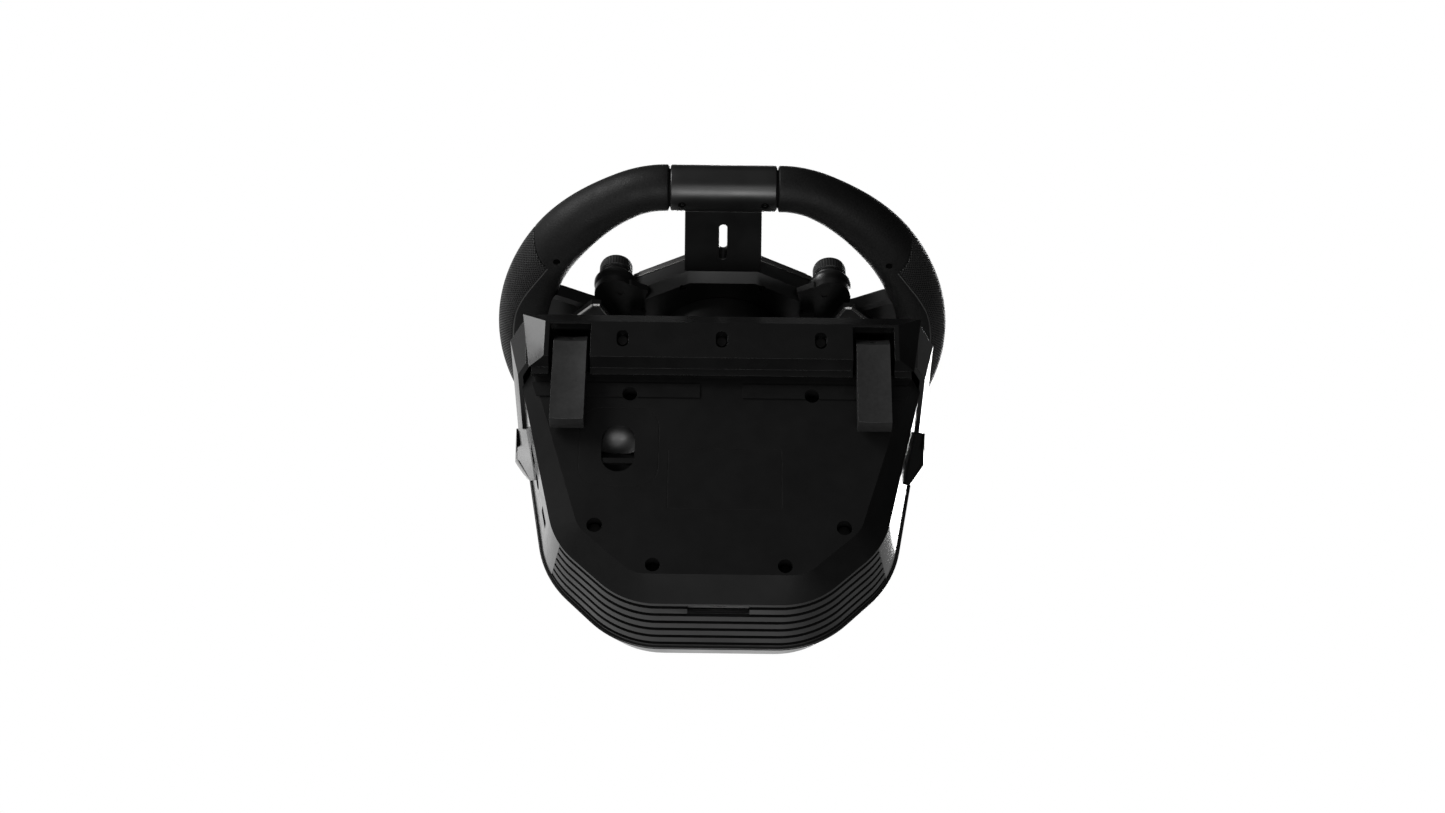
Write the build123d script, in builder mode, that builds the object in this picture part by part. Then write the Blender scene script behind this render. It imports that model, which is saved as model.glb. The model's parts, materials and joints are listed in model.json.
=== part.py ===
"""Desk-clamped force feedback racing wheel, in millimetres.

Frame: +Z up, -Y towards the driver, +X to the driver's right. The origin is on the line where the desk's
front edge meets the underside of the base, so the base stands on the plane Z = 0 and the desk lip, the
clamp arms and the bottom of the rim hang below it.

Everything that belongs to the wheel is drawn in the wheel plane: u to the right, v up along the rim and
w along the steering axis, towards the driver.
"""
import os
from math import atan2, cos, degrees, pi, radians, sin, sqrt

from build123d import *

# Steering axis and rim
RAKE = 17.5                       # rise of the steering axis towards the driver, degrees
RIM_CENTRE = Vector(0, -85.6, 96.1)
RIM_R = 120.5                     # rim centre line
GRIP_R = 16.0                     # section radius at the grips
FLAT_R = 13.3                     # section radius along the flat bottom
TOP_R = 14.5
LOWER_R = 14.6                    # between the corner bend and the grip
CORE_R = 7.0                      # metal core inside the rim
FLAT_DROP = 112.5                 # flat bottom's centre line below the steering axis
CORNER_R = 50.0                   # bend between the flat bottom and the round rim
CAP_HALF = 30.5                   # half width of the centre cap on the flat bottom
GRIP_LOW = -34.0                  # grips run between these angles
GRIP_HIGH = 48.0
SEAM = 0.6                        # gap between rim sections

# Hub, along the steering axis
HUB_REAR = -14.0
BEVEL = 5.0
PLATE_REAR = 2.0
PLATE_FRONT = 6.0
PANEL_FRONT = 13.0
COLUMN_R = 41.0
DIAL_SPOT = (64.0, -42.0)
DIAL_R = 10.0

# Base, along the steering axis
FACE_W = -76.0                    # front face of the base
JOINT_W = -106.0                  # where the front housing meets the rear covers
HOUSING_TOP = 52.0                # v of the housing's top
WALL = 2.8

# Base, heights
BAND_Z = 12.0                     # top of the chamfered band round the bottom cover
RIB_TOP_Z = 56.0                  # top of the ribbed rear band
CROWN_Z = 124.0
LIP_Z = -12.0                     # bottom face of the desk lip
CHIN_Z = -5.5                     # bottom of the front housing, where the lip's slopes begin
LEDGE_Z = -2.0                    # ledge along the lip's rear, against the desk's edge

# Half outlines of the base seen from above, as (front x, side corner, rear corner, corner radius)
FRONT_Y = -60.0
PLAN = {
    0.0: (121.4, (75.3, 89.0), (45.5, 115.2), 18.0),
    BAND_Z: (124.6, (88.5, 93.0), (50.0, 127.3), 45.0),
    RIB_TOP_Z: (124.3, (96.0, 94.5), (53.5, 134.5), 55.0),
    CROWN_Z: (112.0, (82.0, 82.0), (44.0, 116.0), 40.0),
}

# Rig holes, screws and the desk clamp
FRONT_HOLES = (50.0, 8.9)
REAR_HOLES = (35.0, 110.0)
SCREW_WELLS = (66.5, 87.6)
RIG_HOLE_R = 3.9
ARM_X = 83.4
ARM_WIDTH = 18.4
ARM_TOP_Z = -2.5
ARM_BOTTOM_Z = -11.5
ARM_TIP_Y = 33.0
LEG_FRONT_W = -89.5
LEG_REAR_W = -103.5
LEG_TOP_V = -28.0
SCREW_W = (LEG_FRONT_W + LEG_REAR_W) / 2
SCREW_R = 4.0

# Drive
SHAFT_R = 9.0
PULLEY_R = 26.0
MOTOR_PULLEY_R = 8.0
MOTOR_SPOT = (58.0, -14.0)
MOTOR_R = 19.0
SHAFT_END = -174.0
PULLEY_REAR = -168.0
PULLEY_FRONT = -157.0
BELT_GAP = 0.3
BELT_THICK = 1.6
RUN = 0.05                        # radial running clearance

AXIS_DIR = Vector(0, -cos(radians(RAKE)), sin(radians(RAKE)))
WHEEL = Plane(origin=RIM_CENTRE, x_dir=(1, 0, 0), z_dir=AXIS_DIR)
SPIN = Axis(RIM_CENTRE, AXIS_DIR)
BIG = 700.0

os.makedirs("parts", exist_ok=True)


def save(part, name):
    """Label one finished piece and write it."""
    part.label = name
    export_step(part, f"parts/{name}.step")


def save_pair(part, name):
    """Write a right-hand piece and its mirror image."""
    save(mirror(part, about=Plane.YZ), f"{name}_left")
    save(part, f"{name}_right")


def at(w):
    """Plane square to the steering axis."""
    return WHEEL.offset(w)


def place(u, v, w):
    """Point of the wheel frame in the part's own frame."""
    return WHEEL.from_local_coords(Vector(u, v, w))


def y_on(w, z):
    """Y of the plane square to the steering axis at w, at height z."""
    return RIM_CENTRE.Y + (-w + (z - RIM_CENTRE.Z) * sin(radians(RAKE))) / cos(radians(RAKE))


def both_sides(points):
    """Close a right-hand outline, bottom to top, with its mirror image."""
    return points + [(-x, y) for x, y in reversed(points)]


def base_plan(height, grow=0.0, lift=0.0):
    """Outline of the base seen from above, at one of the PLAN heights."""
    front_x, side, rear, radius = PLAN[height]
    points = both_sides([(front_x, FRONT_Y), side, rear])
    with BuildSketch(Plane.XY.offset(height + lift)) as plan:
        with BuildLine():
            Polyline(points, close=True)
        make_face()
        corners = [v for v in plan.vertices() if v.Y > 0]
        fillet(corners, radius)
        if grow:
            offset(amount=grow, kind=Kind.INTERSECTION)
    return plan.sketch


def block(x, y, z):
    """Block between pairs of limits."""
    with BuildPart() as solid:
        with Locations(((x[0] + x[1]) / 2, (y[0] + y[1]) / 2, (z[0] + z[1]) / 2)):
            Box(x[1] - x[0], y[1] - y[0], z[1] - z[0])
    return solid.part


def between(w_low, w_high):
    """All the space between two planes square to the steering axis."""
    with BuildPart() as space:
        with BuildSketch(at(w_low)):
            Rectangle(BIG, BIG)
        extrude(amount=w_high - w_low)
    return space.part


def below(v_high):
    """All the space under a plane along the steering axis."""
    with BuildPart() as space:
        with BuildSketch(at(-BIG / 2)):
            with Locations((0, v_high - BIG / 2)):
                Rectangle(BIG, BIG)
        extrude(amount=BIG)
    return space.part


def tube(u, v, w_low, w_high, outer, inner=0.0):
    """Round tube or rod along the steering axis."""
    with BuildPart() as ring:
        with BuildSketch(at(w_low)):
            with Locations((u, v)):
                Circle(outer)
                if inner:
                    Circle(inner, mode=Mode.SUBTRACT)
        extrude(amount=w_high - w_low)
    return ring.part


def slab(points, w_low, w_high):
    """Plate along the wheel plane, from an outline in u and v."""
    with BuildPart() as plate:
        with BuildSketch(at(w_low)):
            Polygon(*points, align=None)
        extrude(amount=w_high - w_low)
    return plate.part


def ruled(low, high):
    """Straight-sided solid between two outlines."""
    with BuildPart() as solid:
        add(low)
        add(high)
        loft(ruled=True)
    return solid.part


REAR_SPACE = between(JOINT_W - BIG / 2, JOINT_W)
OVERHANG = 1.6                    # the top shell stands out over the wall below it
LOW_SOLID = ruled(base_plan(0.0), base_plan(BAND_Z))
WALL_SOLID = ruled(base_plan(BAND_Z), base_plan(RIB_TOP_Z))
CROWN_SOLID = ruled(base_plan(RIB_TOP_Z, grow=OVERHANG), base_plan(CROWN_Z))
LOW_SPACE = ruled(base_plan(0.0, grow=-1.5, lift=WALL), base_plan(BAND_Z, grow=-WALL))
WALL_SPACE = ruled(base_plan(BAND_Z, grow=-WALL), base_plan(RIB_TOP_Z, grow=-WALL))
CROWN_SPACE = ruled(base_plan(RIB_TOP_Z, grow=OVERHANG - WALL - 1.0), base_plan(CROWN_Z, grow=-WALL))

# ---------------------------------------------------------------- base covers

HOOK = (-55.4, 42.0)              # cable hook well in the underside
HOOK_SIZE = (28.0, 18.0)
HOOK_TOP = 9.0
BOSS_R = 6.5
BOARD_Z = 14.2
BOARD_POSTS = [(-24, 32), (64, 32), (-24, 98), (58, 98)]

with BuildPart() as bottom_cover:
    add(LOW_SOLID)
    add(LOW_SPACE, mode=Mode.SUBTRACT)
    add(REAR_SPACE, mode=Mode.INTERSECT)
    for x, y in (FRONT_HOLES, REAR_HOLES, SCREW_WELLS):
        boss_r = BOSS_R if y < REAR_HOLES[1] else 5.0
        for side in (-1, 1):
            with Locations((side * x, y, BAND_Z / 2 - 0.5)):
                Cylinder(boss_r, BAND_Z - 1)
    for x, y in BOARD_POSTS:
        with Locations((x, y, BOARD_Z / 2 + 0.5)):
            Cylinder(3.0, BOARD_Z - 1)
    with BuildSketch():
        with Locations(HOOK):
            SlotOverall(HOOK_SIZE[0] + 4, HOOK_SIZE[1] + 4, rotation=90)
    extrude(amount=HOOK_TOP + 2)
    with BuildSketch():
        with Locations(HOOK):
            SlotOverall(*HOOK_SIZE, rotation=90)
    extrude(amount=HOOK_TOP, mode=Mode.SUBTRACT)
    with Locations((HOOK[0], HOOK[1] + 7, 2.2)):
        Box(HOOK_SIZE[1] + 1, 3.0, 2.8)
    for x, y in (FRONT_HOLES, REAR_HOLES):
        for side in (-1, 1):
            with Locations((side * x, y, 4.5)):
                Cylinder(RIG_HOLE_R, 9.0, mode=Mode.SUBTRACT)
    for side in (-1, 1):
        with Locations((side * SCREW_WELLS[0], SCREW_WELLS[1], BAND_Z / 2)):
            Cylinder(4.15, BAND_Z + 2, mode=Mode.SUBTRACT)
save(bottom_cover.part, "bottom_cover")

# The wall between the chamfered band and the top shell is one ring, cut into the ribbed rear band and
# the two side panels.
with BuildPart() as wall_ring:
    add(WALL_SOLID)
    add(WALL_SPACE, mode=Mode.SUBTRACT)
    add(REAR_SPACE, mode=Mode.INTERSECT)

RIB_END_Y = 94.0
GROOVES = 6
RIB_PITCH = (RIB_TOP_Z - BAND_Z) / GROOVES
GROOVE_HIGH = 2.8
GROOVE_DEEP = 1.5
USB_HALF = 16.5
USB_LOW = 13.5
USB_HIGH = 21.5
USB_FACE_Y = 125.0
USB_Z = 17.5


def wall_plan(z, grow):
    """Outline of the wall ring at any height between the band and the top shell."""
    part = (z - BAND_Z) / (RIB_TOP_Z - BAND_Z)
    low = PLAN[BAND_Z]
    high = PLAN[RIB_TOP_Z]
    blend = [low[0] + part * (high[0] - low[0])]
    blend += [tuple(a + part * (b - a) for a, b in zip(low[i], high[i])) for i in (1, 2)]
    with BuildSketch(Plane.XY.offset(z)) as plan:
        with BuildLine():
            Polyline(both_sides([(blend[0], FRONT_Y), blend[1], blend[2]]), close=True)
        make_face()
        fillet([v for v in plan.vertices() if v.Y > 0], low[3] + part * (high[3] - low[3]))
        offset(amount=grow, kind=Kind.INTERSECTION)
    return plan.sketch


def groove_ring(z):
    """Space of one groove between two ribs."""
    return extrude(wall_plan(z, 8.0) - wall_plan(z, -GROOVE_DEEP), amount=GROOVE_HIGH)


first_groove = BAND_Z + (RIB_PITCH - GROOVE_HIGH) / 2
grooves = [groove_ring(first_groove + rib * RIB_PITCH) for rib in range(GROOVES)]
with BuildPart() as rear_vent_band:
    add(wall_ring.part)
    add(block((-BIG, BIG), (RIB_END_Y, BIG), (0, BIG)), mode=Mode.INTERSECT)
    for groove in grooves:
        add(groove, mode=Mode.SUBTRACT)
    with Locations((0, USB_FACE_Y + 10, (USB_LOW + USB_HIGH) / 2)):
        Box(2 * USB_HALF, 20, USB_HIGH - USB_LOW, mode=Mode.SUBTRACT)
    with Locations((0, USB_FACE_Y - 1.2, (USB_LOW + USB_HIGH) / 2)):
        Box(2 * USB_HALF + 3, 2.4, USB_HIGH - USB_LOW + 2)
    with BuildSketch(Plane.XZ.offset(-USB_FACE_Y)):
        with Locations((0, USB_Z)):
            SlotOverall(9.8, 3.9)
    extrude(amount=4, both=True, mode=Mode.SUBTRACT)
save(rear_vent_band.part, "rear_vent_band")

# Sockets in the left side panel, as (distance along the wall from its middle, width, height, round)
PORT_Z = 29.0
PORT_WALL_Y = 50.0


def wall_x(y, z):
    """Half width of the base's side wall."""
    part = (z - BAND_Z) / (RIB_TOP_Z - BAND_Z)
    widths = []
    for height in (BAND_Z, RIB_TOP_Z):
        front_x, side = PLAN[height][0], PLAN[height][1]
        widths.append(front_x + (y - FRONT_Y) / (side[1] - FRONT_Y) * (side[0] - front_x))
    return widths[0] + part * (widths[1] - widths[0])


SIDE_SLOPE = degrees(atan2(wall_x(0, PORT_Z) - wall_x(PORT_WALL_Y, PORT_Z), PORT_WALL_Y))
SIDE_LEAN = degrees(atan2(wall_x(PORT_WALL_Y, RIB_TOP_Z) - wall_x(PORT_WALL_Y, BAND_Z), RIB_TOP_Z - BAND_Z))
PORT_NORMAL = Vector(-cos(radians(SIDE_SLOPE)), sin(radians(SIDE_SLOPE)), -sin(radians(SIDE_LEAN)))
PORTS = Plane(
    origin=(-wall_x(PORT_WALL_Y, PORT_Z), PORT_WALL_Y, PORT_Z),
    x_dir=(sin(radians(SIDE_SLOPE)), cos(radians(SIDE_SLOPE)), 0),
    z_dir=PORT_NORMAL,
)
PEDAL_PORT = (-17.0, 12.0, 9.0)
ROUND_PORT = (-1.0, 9.0)
SHIFTER_PORT = (21.0, 11.0, 7.0)

with BuildPart() as side_panel_left:
    add(wall_ring.part)
    add(block((-BIG, 0), (-BIG, RIB_END_Y), (0, BIG)), mode=Mode.INTERSECT)
    with BuildSketch(PORTS):
        for along, wide, high in (PEDAL_PORT, SHIFTER_PORT):
            with Locations((along, 0)):
                RectangleRounded(wide, high, 0.8)
        with Locations((ROUND_PORT[0], 0)):
            Circle(ROUND_PORT[1] / 2)
    extrude(amount=8, both=True, mode=Mode.SUBTRACT)
save(side_panel_left.part, "side_panel_left")

with BuildPart() as side_panel_right:
    add(wall_ring.part)
    add(block((0, BIG), (-BIG, RIB_END_Y), (0, BIG)), mode=Mode.INTERSECT)
save(side_panel_right.part, "side_panel_right")

with BuildPart() as top_shell:
    add(CROWN_SOLID)
    add(below(HOUSING_TOP), mode=Mode.INTERSECT)
    add(CROWN_SPACE & below(HOUSING_TOP - WALL), mode=Mode.SUBTRACT)
    add(REAR_SPACE, mode=Mode.INTERSECT)
save(top_shell.part, "top_shell")

# ------------------------------------------------------- front housing and lip

HOUSING = both_sides([
    (108.5, -84.4), (119.6, -64.3), (119.6, 14.0), (113.0, 38.0), (100.0, HOUSING_TOP),
])
COLUMN_HOLE_R = 45.5
BUTTON_W = -92.0
POWER_R = 6.0

with BuildPart() as front_housing:
    with BuildSketch(at(JOINT_W)):
        Polygon(*HOUSING, align=None)
    extrude(amount=FACE_W - JOINT_W)
    front_edges = front_housing.faces().sort_by(Axis(RIM_CENTRE, AXIS_DIR))[-1].edges()
    chamfer(front_edges, 2.5)
    with BuildSketch(at(JOINT_W)):
        Polygon(*HOUSING, align=None)
        offset(amount=-WALL, mode=Mode.REPLACE, kind=Kind.INTERSECTION)
    extrude(amount=FACE_W - JOINT_W - WALL, mode=Mode.SUBTRACT)
    with BuildSketch(at(FACE_W - WALL - 1)):
        Circle(COLUMN_HOLE_R)
    extrude(amount=WALL + 2, mode=Mode.SUBTRACT)
    for side in (-1, 1):
        with BuildSketch(Plane(place(side * ARM_X, HOUSING_TOP, SCREW_W), (1, 0, 0), WHEEL.y_dir)):
            Circle(SCREW_R + RUN)
        extrude(amount=8, both=True, mode=Mode.SUBTRACT)
    with BuildSketch(Plane(place(0, HOUSING_TOP, BUTTON_W), (1, 0, 0), WHEEL.y_dir)):
        Circle(POWER_R + 0.3)
        with Locations((20, 0)):
            SlotOverall(9, 3)
    extrude(amount=8, both=True, mode=Mode.SUBTRACT)
    add(block((-BIG, BIG), (-BIG, BIG), (CHIN_Z, BIG)), mode=Mode.INTERSECT)
save(front_housing.part, "front_housing")

# Side fins: swept blades on the side walls, each drawn as its section at two heights.
FIN_LOW = (40.0, [(116.9, -14.0), (114.6, 28.7), (106.0, 43.0), (92.0, 43.0), (92.0, -14.0)])
FIN_HIGH = (84.0, [(123.2, -14.0), (120.4, 12.0), (112.0, 22.0), (92.0, 22.0), (92.0, -14.0)])
with BuildPart() as side_fin:
    for height, section in (FIN_LOW, FIN_HIGH):
        with BuildSketch(Plane.XY.offset(height)):
            Polygon(*section, align=None)
    loft(ruled=True)
    add(REAR_SPACE, mode=Mode.INTERSECT)
    add(WALL_SOLID, mode=Mode.SUBTRACT)
    add(CROWN_SOLID, mode=Mode.SUBTRACT)
save_pair(side_fin.part, "side_fin")

LIP_SLOTS = (-54.6, 0.0, 54.6)
LIP_SLOT_Y = -19.6
POCKET = (72.2, 95.0)
POCKET_Y = -28.5
with BuildPart() as desk_lip:
    with BuildSketch(Plane.XY.offset(LIP_Z)):
        Polygon((-97.6, -30), (97.6, -30), (97.6, -8), (-97.6, -8), align=None)
    with BuildSketch(Plane.XY.offset(CHIN_Z)):
        Polygon((-111, -37.8), (111, -37.8), (106, -4.4), (-106, -4.4), align=None)
    loft(ruled=True)
    add(block((-104.5, 104.5), (-5.4, -0.4), (CHIN_Z, LEDGE_Z)))
    for side in (-1, 1):
        with Locations((side * sum(POCKET) / 2, POCKET_Y + 25, LIP_Z / 2)):
            Box(POCKET[1] - POCKET[0], 50, 20, mode=Mode.SUBTRACT)
    with BuildSketch(Plane.XY.offset(LIP_Z)):
        for x in LIP_SLOTS:
            with Locations((x, LIP_SLOT_Y)):
                SlotOverall(10.3, 6.5, rotation=90)
    extrude(amount=5, mode=Mode.SUBTRACT)
    with BuildSketch(Plane.XY.offset(LIP_Z)):
        for x in LIP_SLOTS:
            with Locations((x, LIP_SLOT_Y)):
                Circle(1.6)
    extrude(amount=20, mode=Mode.SUBTRACT)
save(desk_lip.part, "desk_lip")

PAD_Z = -0.8
with BuildPart() as rubber_pads:
    with BuildSketch(Plane.XY.offset(PAD_Z)):
        Polygon((11.6, 2.3), (104.3, 2.3), (101.6, 10.8), (11.6, 10.8), align=None)
        mirror(about=Plane.YZ)
        for side in (-1, 1):
            with Locations((side * FRONT_HOLES[0], FRONT_HOLES[1])):
                Circle(RIG_HOLE_R + 0.2, mode=Mode.SUBTRACT)
    extrude(amount=-PAD_Z)
save(rubber_pads.part, "rubber_pads")

with BuildPart() as base_screws:
    for x in LIP_SLOTS:
        with Locations((x, LIP_SLOT_Y, LIP_Z + 3.8)):
            Cylinder(2.9, 2.4)
        with Locations((x, LIP_SLOT_Y, 0.0)):
            Cylinder(1.5, 14.0)
    for side in (-1, 1):
        with Locations((side * SCREW_WELLS[0], SCREW_WELLS[1], 7.0)):
            Cylinder(3.4, 3.0)
        with Locations((side * SCREW_WELLS[0], SCREW_WELLS[1], 11.0)):
            Cylinder(1.9, 5.0)
save(base_screws.part, "base_screws")

# ----------------------------------------------------------------- desk clamp

bar_front_z = ARM_BOTTOM_Z + 5.5
arm_profile = [
    (y_on(LEG_FRONT_W, bar_front_z), bar_front_z),
    (-18.0, ARM_BOTTOM_Z),
    (ARM_TIP_Y - 3, ARM_BOTTOM_Z),
    (ARM_TIP_Y, ARM_BOTTOM_Z + 3),
    (ARM_TIP_Y, ARM_TOP_Z),
    (y_on(LEG_REAR_W, ARM_TOP_Z), ARM_TOP_Z),
    tuple(place(0, LEG_TOP_V, LEG_REAR_W))[1:],
    tuple(place(0, LEG_TOP_V, LEG_FRONT_W))[1:],
]
with BuildPart() as clamp_arm:
    with BuildSketch(Plane.YZ.offset(ARM_X - ARM_WIDTH / 2)):
        Polygon(*arm_profile, align=None)
    extrude(amount=ARM_WIDTH)
    with BuildSketch(Plane(place(ARM_X, LEG_TOP_V, SCREW_W), (1, 0, 0), -WHEEL.y_dir)):
        Circle(SCREW_R + RUN)
    extrude(amount=52, mode=Mode.SUBTRACT)
save_pair(clamp_arm.part, "clamp_arm")

SCREW_FOOT_V = -78.0
KNOB_LOW = HOUSING_TOP + 1.5
KNOB_HIGH = 17.0
KNOB_R = 16.0
with BuildPart() as clamp_screw:
    with BuildSketch(Plane(place(ARM_X, SCREW_FOOT_V, SCREW_W), (1, 0, 0), WHEEL.y_dir)):
        Circle(SCREW_R)
    extrude(amount=KNOB_LOW + 9 - SCREW_FOOT_V)
    with BuildSketch(Plane(place(ARM_X, HOUSING_TOP - WALL - 3.4, SCREW_W), (1, 0, 0), WHEEL.y_dir)):
        Circle(SCREW_R + 3)
    extrude(amount=3)
save_pair(clamp_screw.part, "clamp_screw")

with BuildPart() as clamp_knob:
    with BuildSketch(Plane(place(ARM_X, KNOB_LOW, SCREW_W), (1, 0, 0), WHEEL.y_dir)):
        Circle(KNOB_R)
        with PolarLocations(KNOB_R + 2.0, 8):
            Circle(4.5, mode=Mode.SUBTRACT)
    extrude(amount=KNOB_HIGH)
    with BuildSketch(Plane(place(ARM_X, KNOB_LOW, SCREW_W), (1, 0, 0), WHEEL.y_dir)):
        Circle(SCREW_R)
    extrude(amount=9, mode=Mode.SUBTRACT)
save_pair(clamp_knob.part, "clamp_knob")

# ---------------------------------------------------------------------- drive

FLANGE_R = 48.8
BEARING_R = 18.0
TUBE_REAR = -150.0
BEARING_WIDE = 10.0
BEARING_SPOTS = (-96.0, -149.0)
save(tube(0, 0, SHAFT_END, PLATE_REAR - 0.2, SHAFT_R), "steering_shaft")

with BuildPart() as bearing_housing:
    add(tube(0, 0, FACE_W - WALL - 5, FACE_W - WALL, FLANGE_R))
    add(tube(0, 0, TUBE_REAR, FACE_W - WALL - 5, BEARING_R + 6))
    add(tube(0, 0, TUBE_REAR - 1, FACE_W, BEARING_R), mode=Mode.SUBTRACT)
save(bearing_housing.part, "bearing_housing")

with BuildPart() as shaft_bearings:
    for low in BEARING_SPOTS:
        add(tube(0, 0, low, low + BEARING_WIDE, BEARING_R - 0.01, SHAFT_R + RUN))
save(shaft_bearings.part, "shaft_bearings")

SHROUD_FRONT = -57.0
with BuildPart() as column_shroud:
    add(tube(0, 0, FACE_W - WALL, SHROUD_FRONT, COLUMN_HOLE_R - 0.2, COLUMN_R + 1))
save(column_shroud.part, "column_shroud")

BRACKET = [(-30, -28), (72, -36), (80, -10), (64, 12), (24, 28), (-30, 28)]
with BuildPart() as motor_bracket:
    add(slab(BRACKET, TUBE_REAR - 3, TUBE_REAR))
    add(tube(0, 0, TUBE_REAR - 4, TUBE_REAR + 1, SHAFT_R + 1.5), mode=Mode.SUBTRACT)
    add(tube(*MOTOR_SPOT, TUBE_REAR - 4, TUBE_REAR + 1, 4.0), mode=Mode.SUBTRACT)
save(motor_bracket.part, "motor_bracket")

MOTOR_LONG = 54.0
with BuildPart() as motor_body:
    add(tube(*MOTOR_SPOT, TUBE_REAR, TUBE_REAR + MOTOR_LONG, MOTOR_R))
    chamfer(motor_body.edges().filter_by(GeomType.CIRCLE), 1.5)
    add(tube(*MOTOR_SPOT, TUBE_REAR - 1, TUBE_REAR + 20, 2.5 + RUN), mode=Mode.SUBTRACT)
save(motor_body.part, "motor_body")

with BuildPart() as motor_pulley:
    add(tube(*MOTOR_SPOT, PULLEY_REAR, PULLEY_FRONT, MOTOR_PULLEY_R))
    add(tube(*MOTOR_SPOT, PULLEY_REAR - 1, PULLEY_REAR, MOTOR_PULLEY_R + 2))
    add(tube(*MOTOR_SPOT, PULLEY_FRONT, TUBE_REAR + 19, 2.5))
save(motor_pulley.part, "motor_pulley")

with BuildPart() as main_pulley:
    add(tube(0, 0, PULLEY_REAR, PULLEY_FRONT, PULLEY_R))
    add(tube(0, 0, PULLEY_REAR - 1, PULLEY_FRONT + 1, SHAFT_R), mode=Mode.SUBTRACT)
    with BuildSketch(at(PULLEY_REAR - 1)):
        with PolarLocations(17.5, 6):
            Circle(4)
    extrude(amount=20, mode=Mode.SUBTRACT)
save(main_pulley.part, "main_pulley")


def belt_loop(extra):
    """Area inside a loop round both pulleys, at a distance from their rims."""
    big = PULLEY_R + extra
    small = MOTOR_PULLEY_R + extra
    span = sqrt(MOTOR_SPOT[0] ** 2 + MOTOR_SPOT[1] ** 2)
    heading = atan2(MOTOR_SPOT[1], MOTOR_SPOT[0])
    lean = pi / 2 - (big - small) / span
    touch = []
    for turn in (lean, -lean):
        way = heading + turn
        touch.append((big * cos(way), big * sin(way)))
        touch.append((MOTOR_SPOT[0] + small * cos(way), MOTOR_SPOT[1] + small * sin(way)))
    with BuildSketch(at(PULLEY_REAR + 1)) as loop:
        Circle(big)
        with Locations(MOTOR_SPOT):
            Circle(small)
        Polygon(touch[0], touch[1], touch[3], touch[2], align=None)
    return loop.sketch


with BuildPart() as drive_belt:
    extrude(belt_loop(BELT_GAP + BELT_THICK).face(), amount=PULLEY_FRONT - PULLEY_REAR - 2)
    extrude(belt_loop(BELT_GAP).face(), amount=PULLEY_FRONT - PULLEY_REAR - 2, mode=Mode.SUBTRACT)
save(drive_belt.part, "drive_belt")

# ------------------------------------------------------------ boards and ports

with BuildPart() as main_board:
    with BuildSketch(Plane.XY.offset(BOARD_Z)):
        Polygon((-30, 26), (70, 26), (70, 90), (50, 104), (12, 104), (12, 121), (-12, 121), (-12, 104),
                (-30, 104), align=None)
    extrude(amount=1.4)
save(main_board.part, "main_board")

with BuildPart() as usb_port:
    with BuildSketch(Plane.XZ.offset(-USB_FACE_Y + 7.5)):
        with Locations((0, USB_Z)):
            SlotOverall(9.0, 3.2)
            SlotOverall(8.3, 2.5, mode=Mode.SUBTRACT)
    extrude(amount=-7.0)
    with Locations((0, USB_FACE_Y - 7.0, USB_Z)):
        Box(7.5, 1.0, 3.0)
    with Locations((0, USB_FACE_Y - 4.5, USB_Z)):
        Box(6.6, 5.0, 0.7)
save(usb_port.part, "usb_port")


SOCKET_DEEP = 11.0
SOCKET_LONG = 13.0


def port_sketch(along, wide, high=0.0):
    """Rectangle or circle on the inner face of the port wall."""
    with BuildSketch(PORTS.offset(-WALL - 0.8)) as area:
        with Locations((along, 0)):
            if high:
                Rectangle(wide, high)
            else:
                Circle(wide / 2)
    return area.sketch.face()


socket_bodies = [
    port_sketch(PEDAL_PORT[0], PEDAL_PORT[1] + 2, PEDAL_PORT[2] + 3),
    port_sketch(ROUND_PORT[0], 12, 12),
    port_sketch(SHIFTER_PORT[0], SHIFTER_PORT[1] + 2, SHIFTER_PORT[2] + 3),
]
socket_holes = [port_sketch(*PEDAL_PORT), port_sketch(ROUND_PORT[0], 7.5), port_sketch(*SHIFTER_PORT)]
with BuildSketch(PORTS.offset(-WALL - 0.8 - SOCKET_LONG)) as port_board:
    with Locations((2, 0)):
        Rectangle(56, 16)
with BuildPart() as port_block:
    for outline in socket_bodies:
        extrude(outline, amount=-SOCKET_LONG)
    extrude(port_board.sketch.face(), amount=-1.4)
    for hole in socket_holes:
        extrude(hole, amount=-SOCKET_DEEP, mode=Mode.SUBTRACT)
save(port_block.part, "port_block")

with BuildPart() as power_button:
    with BuildSketch(Plane(place(0, HOUSING_TOP - 5, BUTTON_W), (1, 0, 0), WHEEL.y_dir)):
        Circle(POWER_R)
    extrude(amount=6)
save(power_button.part, "power_button")

with BuildPart() as status_lens:
    with BuildSketch(Plane(place(20, HOUSING_TOP - WALL, BUTTON_W), (1, 0, 0), WHEEL.y_dir)):
        SlotOverall(8.9, 2.9)
    extrude(amount=WALL - 0.2)
save(status_lens.part, "status_lens")

# ------------------------------------------------------------------------ rim


def rim_plane(angle, centre=(0.0, 0.0), radius=RIM_R):
    """Plane across the rim at an angle round an arc's centre, its normal along the rim."""
    out = Vector(cos(radians(angle)), sin(radians(angle)))
    spot = place(centre[0] + radius * out.X, centre[1] + radius * out.Y, 0)
    radial = WHEEL.x_dir * out.X + WHEEL.y_dir * out.Y
    along = WHEEL.y_dir * out.X - WHEEL.x_dir * out.Y
    return Plane(origin=spot, x_dir=radial, z_dir=along)


def rim_arc(start, end, radius, inner=0.0, centre=(0.0, 0.0), arc_r=RIM_R):
    """Round or hollow rim section between two angles."""
    axle = Axis(place(*centre, 0), AXIS_DIR)
    with BuildPart() as section:
        with BuildSketch(rim_plane(start, centre, arc_r)):
            Circle(radius)
            if inner:
                Circle(inner, mode=Mode.SUBTRACT)
        revolve(axis=axle, revolution_arc=end - start)
    return section.part


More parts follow.
